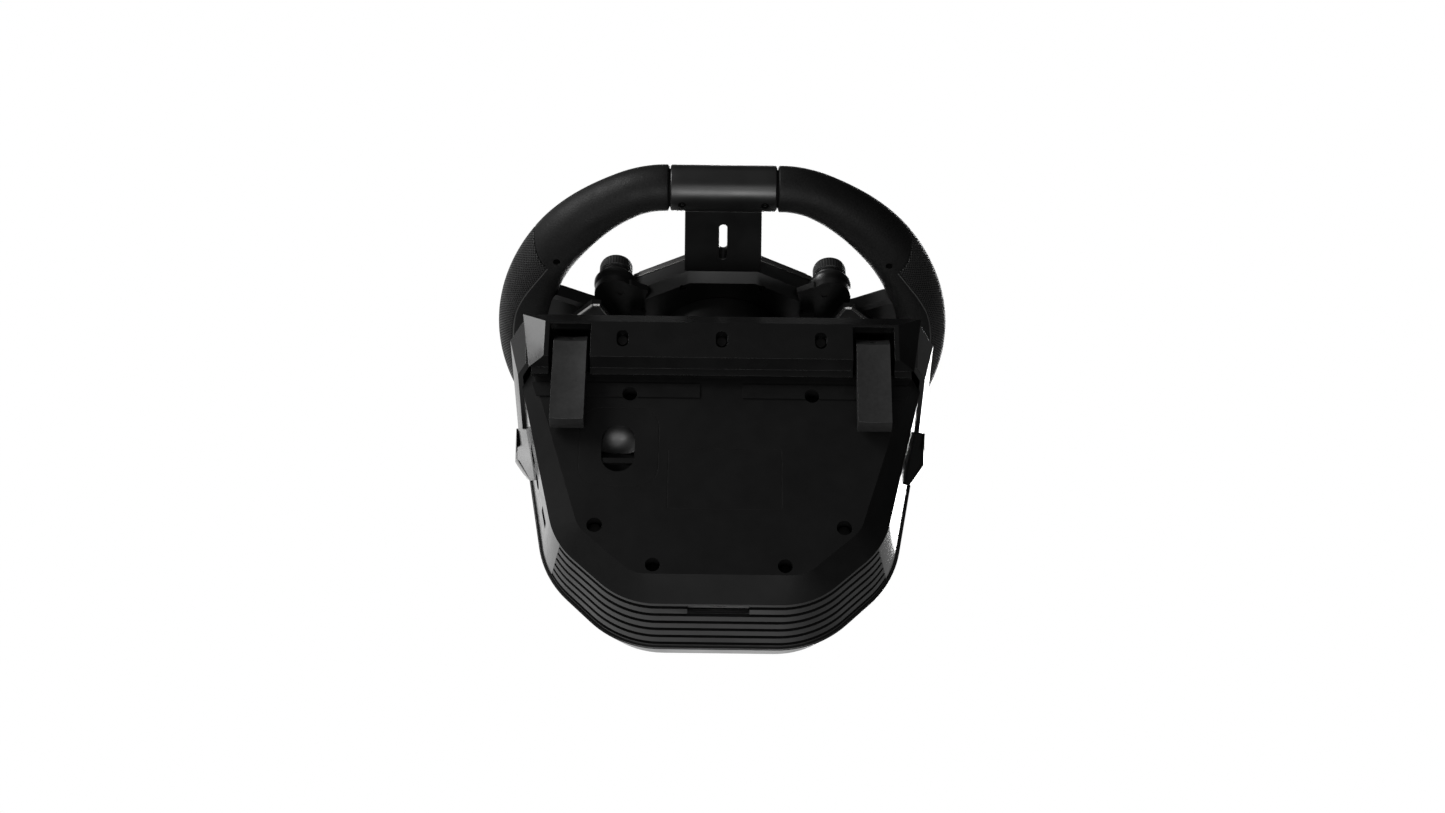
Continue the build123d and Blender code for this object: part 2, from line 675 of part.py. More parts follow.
def flat_run(half, radius, inner=0.0, start=None):
    """Straight rod or tube along the flat bottom, from start (or -half) to half."""
    low = -half if start is None else start
    with BuildPart() as rod:
        with BuildSketch(Plane(place(low, -FLAT_DROP, 0), WHEEL.z_dir, (1, 0, 0))):
            Circle(radius)
            if inner:
                Circle(inner, mode=Mode.SUBTRACT)
        extrude(amount=half - low)
    return rod.part


corner_v = CORNER_R - FLAT_DROP
corner_u = sqrt((RIM_R - CORNER_R) ** 2 - corner_v ** 2)
CORNER = (corner_u, corner_v)
JOIN = degrees(atan2(corner_v, corner_u))       # angle where the corner bend meets the round rim

with BuildPart() as rim_core:
    add(rim_arc(JOIN, 180 - JOIN, CORE_R))
    add(rim_arc(-90, JOIN, CORE_R, centre=CORNER, arc_r=CORNER_R))
    add(rim_arc(180 - JOIN, 270, CORE_R, centre=(-corner_u, corner_v), arc_r=CORNER_R))
    add(flat_run(corner_u, CORE_R))
save(rim_core.part, "rim_core")

CORE_HOLE = CORE_R + 0.1
seam_angle = degrees(SEAM / 2 / RIM_R)
ARM_SLOT = [(40, -15), (118, -15), (118, 7), (40, 7)]
arm_slot = slab(ARM_SLOT, -3.2, 2.0)
with BuildPart() as grip:
    add(rim_arc(GRIP_LOW + seam_angle, GRIP_HIGH - seam_angle, GRIP_R, CORE_HOLE))
    add(arm_slot, mode=Mode.SUBTRACT)
save_pair(grip.part, "grip")

save(rim_arc(GRIP_HIGH + seam_angle, 180 - GRIP_HIGH - seam_angle, TOP_R, CORE_HOLE), "rim_top")

with BuildPart() as rim_lower:
    add(flat_run(corner_u, FLAT_R, CORE_HOLE, start=CAP_HALF + SEAM))
    add(rim_arc(-90, JOIN, FLAT_R, CORE_HOLE, centre=CORNER, arc_r=CORNER_R))
    add(rim_arc(JOIN, GRIP_LOW - seam_angle, LOWER_R, CORE_HOLE))
save_pair(rim_lower.part, "rim_lower")

with BuildPart() as rim_center_cap:
    add(flat_run(CAP_HALF, FLAT_R, CORE_HOLE))
    for u in (-23.7, 23.7):
        add(tube(u, -110.4, -FLAT_R, -FLAT_R + 5, 2.3), mode=Mode.SUBTRACT)
save(rim_center_cap.part, "rim_center_cap")

# ------------------------------------------------------------------------ hub

HUB = both_sides([
    (20.5, -57.2), (54.0, -40.3), (52.0, -30.0), (70.0, -24.0), (70.0, 10.0), (54.0, 33.0), (30.0, 41.0),
])
EAR = [(44, -45.5), (54, -50.5), (74, -46), (74, -33), (66, -22), (50, -24)]
SPOKE_HALF = 22.0
SPOKE_THICK = 11.0

with BuildPart() as hub_shell:
    with BuildSketch(at(HUB_REAR)):
        Polygon(*HUB, align=None)
    extrude(amount=PLATE_REAR - HUB_REAR)
    rear_face = hub_shell.faces().sort_by(SPIN)[0]
    chamfer(rear_face.edges(), BEVEL)
    with BuildSketch(at(HUB_REAR + 3)):
        Polygon(*HUB, align=None)
        offset(amount=-BEVEL - 1.5, mode=Mode.REPLACE, kind=Kind.INTERSECTION)
    extrude(amount=PLATE_REAR - HUB_REAR, mode=Mode.SUBTRACT)

PADDLE_REAR = -24.0
PADDLE_FRONT = -20.6
PIN_R = 2.0
PIN_SPOT = (50.5, -22.3)          # u and w of the paddle's hinge pin
PIVOT_BLOCKS = (-30.0, 21.0)


def paddle_pin(side, low, length, radius):
    """Rod along v on the paddle's hinge line."""
    with BuildPart() as pin:
        with BuildSketch(Plane(place(side * PIN_SPOT[0], low, PIN_SPOT[1]), (1, 0, 0), WHEEL.y_dir)):
            Circle(radius)
        extrude(amount=length)
    return pin.part


with BuildPart() as hub_rear_cover:
    add(hub_shell.part)
    for side in (-1, 1):
        add(slab([(side * u, v) for u, v in EAR], HUB_REAR, HUB_REAR + 4.5))
        spot = (side * DIAL_SPOT[0], DIAL_SPOT[1])
        add(tube(*spot, HUB_REAR, HUB_REAR + 4.5, DIAL_R + 2))
        add(tube(*spot, HUB_REAR + 4.5, -1.8, DIAL_R))
        for low in PIVOT_BLOCKS:
            add(slab([(side * 46, low), (side * 55, low), (side * 55, low + 9), (side * 46, low + 9)],
                     PADDLE_REAR - 2, HUB_REAR))
        add(paddle_pin(side, -34, 70, PIN_R + RUN), mode=Mode.SUBTRACT)
        add(slab([(side * u, v) for u, v in ARM_SLOT], -3.1, 1.9), mode=Mode.SUBTRACT)
    add(tube(0, 0, HUB_REAR - 1, HUB_REAR + 4, SHAFT_R), mode=Mode.SUBTRACT)
    for side in (-1, 1):
        add(tube(side * 23.5, -48.3, HUB_REAR - 1, HUB_REAR + 4, 2.0), mode=Mode.SUBTRACT)
        add(tube(side * 60.5, -44.3, HUB_REAR - 1, HUB_REAR + 3, 2.0), mode=Mode.SUBTRACT)
save(hub_rear_cover.part, "hub_rear_cover")

SPOKE_FRAME = both_sides([(20.0, -44.0), (42.0, -34.0), (44.0, -14.0), (110.0, -12.0), (110.0, 4.0),
                          (46.0, 6.0), (40.0, 24.0), (20.0, 32.0)])
with BuildPart() as spoke_frame:
    add(slab(SPOKE_FRAME, -3.0, 1.8))
    add(rim_core.part, mode=Mode.SUBTRACT)
    add(tube(0, 0, -8, 3, SHAFT_R), mode=Mode.SUBTRACT)
save(spoke_frame.part, "spoke_frame")

SPOKE_COVER = [(70.8, -23.6), (80.0, -27.0), (96.0, -34.0), (108.0, -38.0), (112, 0), (108.0, 24.0),
               (94.0, 15.0), (80.0, 10.5), (70.8, 9.4)]
with BuildPart() as spoke_cover:
    add(slab(SPOKE_COVER, -9.0, 5.0))
    chamfer(spoke_cover.edges().filter_by(Axis(RIM_CENTRE, AXIS_DIR), reverse=True), 2.0)
    add(slab(ARM_SLOT, -3.2, 2.0), mode=Mode.SUBTRACT)
    add(rim_arc(-40, 40, GRIP_R + 0.1), mode=Mode.SUBTRACT)
    add(tube(0, 0, -20, 20, RIM_R - 6), mode=Mode.INTERSECT)
save_pair(spoke_cover.part, "spoke_cover")

with BuildPart() as hub_front_plate:
    with BuildSketch(at(PLATE_REAR)):
        Polygon(*HUB, align=None)
        offset(amount=0.6, mode=Mode.REPLACE, kind=Kind.INTERSECTION)
        Circle(SHAFT_R + 8, mode=Mode.SUBTRACT)
    extrude(amount=PLATE_FRONT - PLATE_REAR)
    for side in (-1, 1):
        add(tube(side * DIAL_SPOT[0], DIAL_SPOT[1], 0, 20, DIAL_R + 0.5), mode=Mode.SUBTRACT)
save(hub_front_plate.part, "hub_front_plate")

# The driver's side: a control panel with its buttons.
FACE_BUTTONS = {"a": (48.0, -16.5), "b": (59.0, -6.0), "x": (37.0, -6.0), "y": (48.0, 4.5)}
FUNCTION_BUTTONS = {"menu": (25.0, 18.0), "view": (-25.0, 18.0)}
DPAD = (-48.0, -6.0)
BUTTON_R = 5.0
SMALL_R = 3.4
BUTTON_BACK = 9.0
BUTTON_TOP = PANEL_FRONT + 1.8

with BuildPart() as control_panel:
    with BuildSketch(at(PLATE_FRONT)):
        Polygon(*HUB, align=None)
        offset(amount=-3, mode=Mode.REPLACE, kind=Kind.INTERSECTION)
    extrude(amount=PANEL_FRONT - PLATE_FRONT)
    panel_edges = control_panel.faces().sort_by(SPIN)[-1].edges()
    chamfer(panel_edges, 2.0)
    with BuildSketch(at(PLATE_FRONT)):
        Polygon(*HUB, align=None)
        offset(amount=-6, mode=Mode.REPLACE, kind=Kind.INTERSECTION)
    extrude(amount=PANEL_FRONT - PLATE_FRONT - 2.5, mode=Mode.SUBTRACT)
    with BuildSketch(at(PLATE_FRONT)):
        with Locations(*FACE_BUTTONS.values()):
            Circle(BUTTON_R + 0.3)
        with Locations(*FUNCTION_BUTTONS.values()):
            Circle(SMALL_R + 0.3)
        with Locations(DPAD):
            Circle(11.0)
    extrude(amount=20, mode=Mode.SUBTRACT)
save(control_panel.part, "control_panel")

with BuildPart() as button_board:
    with BuildSketch(at(PLATE_FRONT + 0.2)):
        Polygon(*HUB, align=None)
        offset(amount=-8, mode=Mode.REPLACE, kind=Kind.INTERSECTION)
        Circle(SHAFT_R + 1, mode=Mode.SUBTRACT)
        with Locations(DPAD):
            Circle(5.0, mode=Mode.SUBTRACT)
    extrude(amount=1.2)
save(button_board.part, "button_board")

for spots, radius in ((FACE_BUTTONS, BUTTON_R), (FUNCTION_BUTTONS, SMALL_R)):
    for name, (u, v) in spots.items():
        with BuildPart() as cap:
            add(tube(u, v, BUTTON_BACK, BUTTON_TOP, radius))
            fillet(cap.faces().sort_by(SPIN)[-1].edges(), 0.8)
        save(cap.part, f"button_{name}")

CROSS_LONG = 19.0
CROSS_WIDE = 7.0
with BuildPart() as dpad:
    with BuildSketch(at(BUTTON_BACK + 1.6)):
        with Locations(DPAD):
            Rectangle(CROSS_LONG, CROSS_WIDE)
            Rectangle(CROSS_WIDE, CROSS_LONG)
    extrude(amount=BUTTON_TOP - BUTTON_BACK - 1.0)
save(dpad.part, "dpad")
save(tube(*DPAD, PLATE_FRONT + 0.4, BUTTON_BACK + 1.3, 2.5), "dpad_pivot")

with BuildPart() as dial_knob:
    add(tube(*DIAL_SPOT, -1.3, 12.0, DIAL_R))
    chamfer(dial_knob.edges().filter_by(GeomType.CIRCLE).sort_by(SPIN)[-1], 1.0)
    with BuildSketch(at(3.0)):
        with Locations(DIAL_SPOT):
            with PolarLocations(DIAL_R + 0.2, 24):
                Circle(0.7)
    extrude(amount=7.0, mode=Mode.SUBTRACT)
save_pair(dial_knob.part, "dial_knob")

with BuildPart() as lower_spoke:
    with BuildSketch(at(-9.0)):
        Polygon((-SPOKE_HALF - 0.6, -57.6), (SPOKE_HALF + 0.6, -57.6), (SPOKE_HALF, -108),
                (-SPOKE_HALF, -108), align=None)
        with Locations((0, -79.8)):
            SlotOverall(26.0, 4.6, rotation=90, mode=Mode.SUBTRACT)
    extrude(amount=SPOKE_THICK)
    add(flat_run(CAP_HALF, FLAT_R + 0.05), mode=Mode.SUBTRACT)
save(lower_spoke.part, "lower_spoke")

with BuildPart() as column_collar:
    add(tube(0, 0, SHROUD_FRONT + 1.0, HUB_REAR, COLUMN_R, COLUMN_R - 4))
    add(tube(0, 0, HUB_REAR - 6, HUB_REAR, COLUMN_R, SHAFT_R))
save(column_collar.part, "column_collar")

with BuildPart() as wheel_screws:
    for side in (-1, 1):
        add(tube(side * 23.7, -110.4, -FLAT_R + 1.2, -FLAT_R + 3, 2.2))
        add(tube(side * 23.5, -48.3, HUB_REAR + 0.8, HUB_REAR + 2.8, 1.9))
        add(tube(side * 60.5, -44.3, HUB_REAR + 0.8, HUB_REAR + 2.8, 1.9))
save(wheel_screws.part, "wheel_screws")

# -------------------------------------------------------------------- paddles

PADDLE = [(48.5, -20.0), (58.0, -20.0), (71.5, -44.2), (77.0, -44.2), (96.0, -26.0), (99.0, 12.0),
          (92.0, 40.0), (78.0, 44.0), (60.0, 20.0), (48.5, 20.0)]
with BuildPart() as paddle:
    add(slab(PADDLE, PADDLE_REAR, PADDLE_FRONT))
    add(paddle_pin(1, -29, 58, PIN_R))
save_pair(paddle.part, "paddle")
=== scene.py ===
"""Racing wheel: finished surfaces, materials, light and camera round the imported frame.

Shapes are written in millimetres and turned into metres by MM. The rotating part is drawn in the wheel
frame: u to the driver's right, v up along the rim, w along the steering axis towards the driver. The base
is drawn in the row frame, with +Z up and the driver at -Y.
"""
import json
from math import acos, atan2, cos, pi, radians, sin, sqrt, tan

import bmesh
import bpy
from mathutils import Matrix, Vector


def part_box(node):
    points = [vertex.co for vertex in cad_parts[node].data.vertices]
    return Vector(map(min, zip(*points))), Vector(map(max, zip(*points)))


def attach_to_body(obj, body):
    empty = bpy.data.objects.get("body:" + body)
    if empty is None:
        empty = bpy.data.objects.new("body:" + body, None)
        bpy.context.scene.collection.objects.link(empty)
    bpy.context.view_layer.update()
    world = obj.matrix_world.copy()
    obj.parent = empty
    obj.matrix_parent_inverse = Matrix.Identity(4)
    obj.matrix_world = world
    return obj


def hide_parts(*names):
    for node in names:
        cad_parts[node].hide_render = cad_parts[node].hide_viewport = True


MM = 0.001
THINNEST = 0.001                  # radius of a turned shape where it meets its axis
SHARP = radians(28)               # edges sharper than this are rounded
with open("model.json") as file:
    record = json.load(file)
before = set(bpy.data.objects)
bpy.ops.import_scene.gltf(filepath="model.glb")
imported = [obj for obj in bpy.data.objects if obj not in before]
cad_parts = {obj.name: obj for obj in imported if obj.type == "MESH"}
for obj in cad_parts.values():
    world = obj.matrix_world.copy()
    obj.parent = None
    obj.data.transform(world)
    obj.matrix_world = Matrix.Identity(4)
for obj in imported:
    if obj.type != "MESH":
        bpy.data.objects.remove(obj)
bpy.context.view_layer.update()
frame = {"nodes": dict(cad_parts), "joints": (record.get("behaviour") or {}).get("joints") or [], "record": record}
record = frame["record"]
nodes = frame["nodes"]
joints = {joint["name"]: joint for joint in frame["joints"]}
slots = {part["node"]: part["material_slot"] for part in record["subparts"]}
body_of = {node: body for body, members in record["behaviour"]["bodies"].items() for node in members}

X = Vector((1, 0, 0))
HUB_CENTRE = Vector(joints["steering"]["pos_m"])
AXIS = Vector(joints["steering"]["axis"]).normalized()
UP = AXIS.cross(X)
SIDES = {"right": 1, "left": -1}


def place(u, v, w):
    """Point of the wheel frame in millimetres, as a point of the row frame in metres."""
    return HUB_CENTRE + MM * (u * X + v * UP + w * AXIS)


def spot(x, y, z):
    """Point of the row frame, from millimetres to metres."""
    return MM * Vector((x, y, z))


# ------------------------------------------------------------------ materials

class Shader:
    """A node tree with a Principled surface, and short ways to add to it."""

    def __init__(self, name, colour, roughness, metallic=0.0, specular=0.5, coat=0.0, coat_roughness=0.1):
        self.material = bpy.data.materials.new(name)
        self.material.use_nodes = True
        self.tree = self.material.node_tree
        self.surface = self.tree.nodes["Principled BSDF"]
        self.surface.inputs["Base Color"].default_value = (*colour, 1)
        self.surface.inputs["Roughness"].default_value = roughness
        self.surface.inputs["Metallic"].default_value = metallic
        self.surface.inputs["Specular IOR Level"].default_value = specular
        self.surface.inputs["Coat Weight"].default_value = coat
        self.surface.inputs["Coat Roughness"].default_value = coat_roughness
        self.place = self.node("TexCoord").outputs["Object"]
        self.normal = None

    def node(self, kind, **settings):
        """New node with its settings and input values."""
        new = self.tree.nodes.new("ShaderNode" + kind)
        for key, value in settings.items():
            if hasattr(new, key):
                setattr(new, key, value)
            else:
                new.inputs[key.replace("_", " ")].default_value = value
        return new

    def link(self, source, target):
        self.tree.links.new(source, target)

    def noise(self, size, detail=3.0, stretch=None):
        """Noise between 0 and 1 with features of the given size in millimetres."""
        texture = self.node("TexNoise", Scale=1.0 / (size * MM), Detail=detail)
        self.link(self.stretched(stretch), texture.inputs["Vector"])
        return texture.outputs["Fac"]

    def stretched(self, stretch):
        """Object coordinates, drawn out along an axis for brushed or sheared patterns."""
        if stretch is None:
            return self.place
        mapping = self.node("Mapping", Scale=stretch)
        self.link(self.place, mapping.inputs["Vector"])
        return mapping.outputs["Vector"]

    def cells(self, size, feature="F1", randomness=1.0, source=None):
        """Distance field of cells of the given size in millimetres."""
        texture = self.node("TexVoronoi", feature=feature, Scale=1.0 / (size * MM), Randomness=randomness)
        self.link(source or self.place, texture.inputs["Vector"])
        return texture.outputs["Distance"]

    def ramp(self, value, low, high, out_low=0.0, out_high=1.0):
        """Value mapped from one range to another, held at the ends."""
        mapped = self.node("MapRange", From_Min=low, From_Max=high, To_Min=out_low, To_Max=out_high)
        self.link(value, mapped.inputs["Value"])
        return mapped.outputs["Result"]

    def math(self, operation, first, second):
        """Arithmetic on two outputs or numbers."""
        step = self.node("Math", operation=operation)
        for index, value in enumerate((first, second)):
            if isinstance(value, (int, float)):
                step.inputs[index].default_value = value
            else:
                self.link(value, step.inputs[index])
        return step.outputs["Value"]

    def bump(self, height, depth):
        """Relief of the given depth in millimetres, on top of what is there."""
        relief = self.node("Bump", Strength=1.0, Distance=depth * MM)
        self.link(height, relief.inputs["Height"])
        if self.normal is not None:
            self.link(self.normal, relief.inputs["Normal"])
        self.normal = relief.outputs["Normal"]
        self.link(self.normal, self.surface.inputs["Normal"])

    def vary_roughness(self, value, low, high):
        """Roughness that follows a value between two limits."""
        self.link(self.ramp(value, 0.35, 0.65, low, high), self.surface.inputs["Roughness"])

    def vary_colour(self, value, dark, light):
        """Colour that follows a value between two colours."""
        blend = self.node("Mix", data_type="RGBA")
        mix_inputs = [socket for socket in blend.inputs if socket.type == "RGBA"]
        mix_inputs[0].default_value = (*dark, 1)
        mix_inputs[1].default_value = (*light, 1)
        self.link(value, blend.inputs["Factor"])
        colour = [socket for socket in blend.outputs if socket.type == "RGBA"][0]
        self.link(colour, self.surface.inputs["Base Color"])


def grey(level, warmth=0.0):
    """Neutral colour, a little warm or cool."""
    return (level * (1 + warmth), level, level * (1 - warmth))


def moulded(name, level, roughness, grain=0.45, depth=0.02, specular=0.5):
    """Injection-moulded plastic with an even spark-eroded grain and faint handling marks."""
    shader = Shader(name, grey(level), roughness, specular=specular)
    shader.bump(shader.noise(grain, 2.0), depth)
    handled = shader.noise(38.0, 4.0)
    shader.vary_roughness(handled, roughness - 0.05, roughness + 0.06)
    cloud = shader.ramp(shader.noise(9.0, 5.0), 0.3, 0.7)
    shader.vary_colour(cloud, grey(level * 0.85), grey(level * 1.15))
    return shader.material


def glossy(name, level, roughness):
    """Polished black plastic with a slight moulding ripple and fine dust."""
    shader = Shader(name, grey(level), roughness, specular=0.5)
    shader.bump(shader.noise(22.0, 1.0), 0.03)
    shader.vary_roughness(shader.noise(3.5, 6.0), roughness, roughness + 0.10)
    return shader.material


def soft_grip():
    """Soft-touch moulding with a shallow leather-like grain."""
    shader = Shader("rim_grain", grey(0.006), 0.50, specular=0.18)
    shader.bump(shader.cells(0.85, "F1"), 0.10)
    shader.bump(shader.noise(0.35, 3.0), 0.03)
    shader.vary_roughness(shader.noise(14.0, 5.0), 0.48, 0.62)
    shader.vary_colour(shader.ramp(shader.noise(0.9, 3.0), 0.35, 0.65), grey(0.004), grey(0.008))
    return shader.material


PERFORATION_PITCH = 1.95
PERFORATION_R = 0.50


def leather():
    """Perforated leather: staggered holes, painted near black as the shade inside them, over a fine pebbled grain,
    in the skin's own flat coordinates.
    """
    shader = Shader("grip_leather", grey(0.008), 0.46, specular=0.32)
    flat = shader.node("UVMap", uv_map="surface").outputs["UV"]
    turn = shader.node("Mapping", Rotation=(0, 0, radians(45)))
    shader.link(flat, turn.inputs["Vector"])
    cell = PERFORATION_PITCH / sqrt(2)
    distance = shader.cells(cell, randomness=0.0, source=turn.outputs["Vector"])
    inner = (PERFORATION_R - 0.07) / cell
    outer = (PERFORATION_R + 0.10) / cell
    relief_and_hole_shade = shader.ramp(distance, inner, outer)
    shader.bump(relief_and_hole_shade, 0.45)
    shader.bump(shader.cells(0.55, "F1"), 0.05)
    shader.bump(shader.noise(2.4, 4.0), 0.06)
    # painted shade: the holes are coloured near black for the shade inside the perforations
    shader.vary_colour(relief_and_hole_shade, grey(0.0002), grey(0.022))
    worn = shader.ramp(shader.noise(7.0, 4.0), 0.35, 0.65, 0.38, 0.48)
    in_hole = shader.ramp(relief_and_hole_shade, 0.0, 1.0, 0.5, 0.0)
    shader.link(shader.math("ADD", worn, in_hole), shader.surface.inputs["Roughness"])
    return shader.material


def coated_metal(name, level, roughness, depth=0.03):
    """Powder-coated metal: fine orange peel under a satin coat."""
    shader = Shader(name, grey(level), roughness, specular=0.5)
    shader.bump(shader.noise(1.1, 4.0), depth)
    shader.vary_roughness(shader.noise(20.0, 4.0), roughness - 0.06, roughness + 0.06)
    shader.vary_colour(shader.ramp(shader.noise(2.0, 5.0), 0.3, 0.7), grey(level * 0.8), grey(level * 1.2))
    return shader.material


def bare_metal(name, level, roughness, along=(1, 1, 1)):
    """Brushed or turned metal."""
    shader = Shader(name, grey(level, 0.01), roughness, metallic=1.0)
    streaks = shader.noise(0.5, 3.0, stretch=along)
    shader.bump(streaks, 0.008)
    shader.vary_roughness(streaks, roughness - 0.06, roughness + 0.10)
    return shader.material


def circuit():
    """Black solder mask over copper, with tracks."""
    shader = Shader("circuit_mask", (0.008, 0.012, 0.010), 0.35)
    tracks = shader.cells(4.0, "DISTANCE_TO_EDGE", 0.6)
    raised = shader.ramp(tracks, 0.03, 0.06, 1.0, 0.0)
    shader.vary_colour(raised, (0.006, 0.010, 0.008), (0.020, 0.030, 0.024))
    shader.bump(raised, 0.03)
    return shader.material


def rubber(name, level):
    """Matte rubber with a fine dusty bloom."""
    shader = Shader(name, grey(level), 0.7, specular=0.10)
    shader.bump(shader.noise(0.7, 4.0), 0.03)
    bloom = shader.ramp(shader.noise(12.0, 6.0), 0.35, 0.7)
    shader.vary_colour(bloom, grey(level * 0.8), grey(level * 1.35))
    return shader.material


def lens():
    """Milky light window."""
    shader = Shader("lens_milk", (0.75, 0.78, 0.8), 0.25, coat=0.5)
    shader.surface.inputs["Subsurface Weight"].default_value = 0.3
    shader.surface.inputs["Subsurface Radius"].default_value = (0.002, 0.002, 0.002)
    shader.bump(shader.noise(1.5, 2.0), 0.01)
    return shader.material


UNDER = moulded("under_plastic", 0.0045, 0.52, grain=0.5, depth=0.02, specular=0.12)
RIBBED = moulded("ribbed_plastic", 0.004, 0.32, grain=0.3, depth=0.006, specular=0.24)
BEZEL = moulded("bezel_plastic", 0.005, 0.28, grain=0.35, depth=0.008, specular=0.45)
LIP = moulded("lip_plastic", 0.0045, 0.25, grain=0.45, depth=0.010, specular=0.22)
GLOSS = glossy("side_gloss", 0.006, 0.10)
SATIN = moulded("satin_plastic", 0.006, 0.36, grain=0.4, depth=0.010, specular=0.4)
MATT = moulded("hub_plastic", 0.006, 0.36, grain=0.4, depth=0.010, specular=0.5)
RIM_SATIN = moulded("rim_cap_plastic", 0.007, 0.36, grain=0.4, depth=0.010, specular=0.55)
GRAINED = soft_grip()
LEATHER = leather()
ARM_PAINT = coated_metal("arm_paint", 0.016, 0.40)
PADDLE_METAL = coated_metal("paddle_metal", 0.006, 0.34, depth=0.015)
PADDLE_EDGE = bare_metal("paddle_edge", 0.30, 0.24)
PLATE_METAL = bare_metal("plate_metal", 0.16, 0.32, along=(1, 8, 8))
CORE_METAL = bare_metal("core_metal", 0.35, 0.5)
STEEL = bare_metal("steel", 0.45, 0.3)
BLACK_STEEL = bare_metal("black_steel", 0.02, 0.36)
BRIGHT = bare_metal("bright_metal", 0.75, 0.18)
GOLD = bare_metal("gold_contact", 0.6, 0.25)
RUBBER = rubber("pad_rubber", 0.004)
BELT = rubber("belt_rubber", 0.014)
CIRCUIT = circuit()
LENS = lens()
SCOOP = glossy("scoop_gloss", 0.003, 0.34)
CAP = glossy("button_caps", 0.035, 0.20)
KNOB = moulded("knob_plastic", 0.012, 0.42, grain=0.35, depth=0.02)
# painted reflection: a pale plate that stands for the light caught by the socket notch's rear face
PAINTED_LIGHT_PLATE = moulded("port_plate_painted_light", 0.10, 0.40, grain=0.4, depth=0.01)

CAD_FINISH = {
    "base_plastic": SATIN, "vent_plastic": RIBBED, "rubber": RUBBER, "screw_steel": BLACK_STEEL,
    "motor_case": CORE_METAL, "circuit_board": CIRCUIT, "lens": LENS, "arm_metal": ARM_PAINT,
    "core_metal": CORE_METAL, "grip_leather": LEATHER, "rim_soft": GRAINED, "cap_plastic": SATIN,
    "plate_metal": PLATE_METAL, "knob_plastic": KNOB,
}
NODE_FINISH = {"bottom_cover": UNDER, "drive_belt": BELT, "usb_port": BRIGHT, "steering_shaft": STEEL}


def paint(obj, material):
    """Gives every face of an object one material."""
    obj.data.materials.clear()
    obj.data.materials.append(material)


for node_name, cad_object in nodes.items():
    finish = NODE_FINISH.get(node_name, CAD_FINISH[slots[node_name]])
    for index in range(max(1, len(cad_object.material_slots))):
        if index >= len(cad_object.material_slots):
            cad_object.data.materials.append(finish)
        cad_object.material_slots[index].material = finish


# ---------------------------------------------------------------- mesh helpers

def mesh_object(name, points, faces, material):
    """New object from points in metres."""
    mesh = bpy.data.meshes.new(name)
    mesh.from_pydata([tuple(point) for point in points], [], faces)
    mesh.update()
    obj = bpy.data.objects.new(name, mesh)
    bpy.context.scene.collection.objects.link(obj)
    mesh.materials.append(material)
    tidy_mesh(obj)
    return obj


def tidy_mesh(obj, merge=0.0005):
    """Merges doubled points and turns all faces outwards."""
    work = bmesh.new()
    work.from_mesh(obj.data)
    bmesh.ops.remove_doubles(work, verts=work.verts, dist=merge * MM)
    bmesh.ops.recalc_face_normals(work, faces=work.faces)
    work.to_mesh(obj.data)
    work.free()


def apply_modifiers(obj):
    """Writes the modifiers into the mesh."""
    bpy.context.view_layer.update()
    graph = bpy.context.evaluated_depsgraph_get()
    mesh = bpy.data.meshes.new_from_object(obj.evaluated_get(graph))
    obj.modifiers.clear()
    old = obj.data
    obj.data = mesh
    bpy.data.meshes.remove(old)


def smooth(obj, angle=32.0):
    """Smooth shading, with edges sharper than the angle kept."""
    obj.data.shade_smooth()
    obj.data.set_sharp_from_angle(angle=radians(angle))


def round_edges(obj, width, segments=3, limit="ANGLE"):
    """Rounds every sharp edge, or every weighted edge, and keeps the flats flat."""
    edge = obj.modifiers.new("round", "BEVEL")
    edge.width = width * MM
    edge.segments = segments
    edge.limit_method = limit
    edge.angle_limit = SHARP
    edge.use_clamp_overlap = True
    edge.miter_outer = "MITER_ARC"
    apply_modifiers(obj)
    smooth(obj, 40.0)
    flats = obj.modifiers.new("flats", "WEIGHTED_NORMAL")
    flats.keep_sharp = True
    flats.weight = 80
    apply_modifiers(obj)


def clean_copy(node, merge_angle=0.6):
    """Copy of a CAD node's mesh with its flat faces joined."""
    mesh = nodes[node].data.copy()
    obj = bpy.data.objects.new(node + "_finish", mesh)
    bpy.context.scene.collection.objects.link(obj)
    work = bmesh.new()
    work.from_mesh(mesh)
    bmesh.ops.remove_doubles(work, verts=work.verts, dist=0.002 * MM)
    bmesh.ops.dissolve_limit(work, angle_limit=radians(merge_angle), verts=work.verts, edges=work.edges)
    bmesh.ops.recalc_face_normals(work, faces=work.faces)
    work.to_mesh(mesh)
    work.free()
    mesh.materials.clear()
    return obj


def cut(obj, *cutters, operation="DIFFERENCE"):
    """Cuts other closed meshes out of an object, or joins them to it, and removes them."""
    for cutter in cutters:
        step = obj.modifiers.new("cut", "BOOLEAN")
        step.operation = operation
        step.solver = "EXACT"
        step.object = cutter
        apply_modifiers(obj)
        bpy.data.objects.remove(cutter)
    return obj


def attach(obj, node, material=None, replaced=()):
    """Gives a piece its material and body, and lets it stand for its CAD nodes."""
    if material is not None:
        paint(obj, material)
    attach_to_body(obj, body_of[node])
    if replaced:
        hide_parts(*replaced)
    return obj


def finish_copy(node, material, width, segments=3, cutters=()):
    """Rounded copy of a CAD node that stands for it."""
    obj = clean_copy(node)
    obj.data.materials.append(material)
    cut(obj, *cutters)
    round_edges(obj, width, segments)
    return attach(obj, node, material, replaced=(node,))


def grid_faces(rows, columns, closed_rows=False, closed_columns=True, first=0):
    """Quads of a grid whose points run column by column within each row."""
    faces = []
    for row in range(rows if closed_rows else rows - 1):
        for column in range(columns if closed_columns else columns - 1):
            after = (column + 1) % columns
            upper = (row + 1) % rows
            faces.append((first + row * columns + column, first + row * columns + after,
                          first + upper * columns + after, first + upper * columns + column))
    return faces


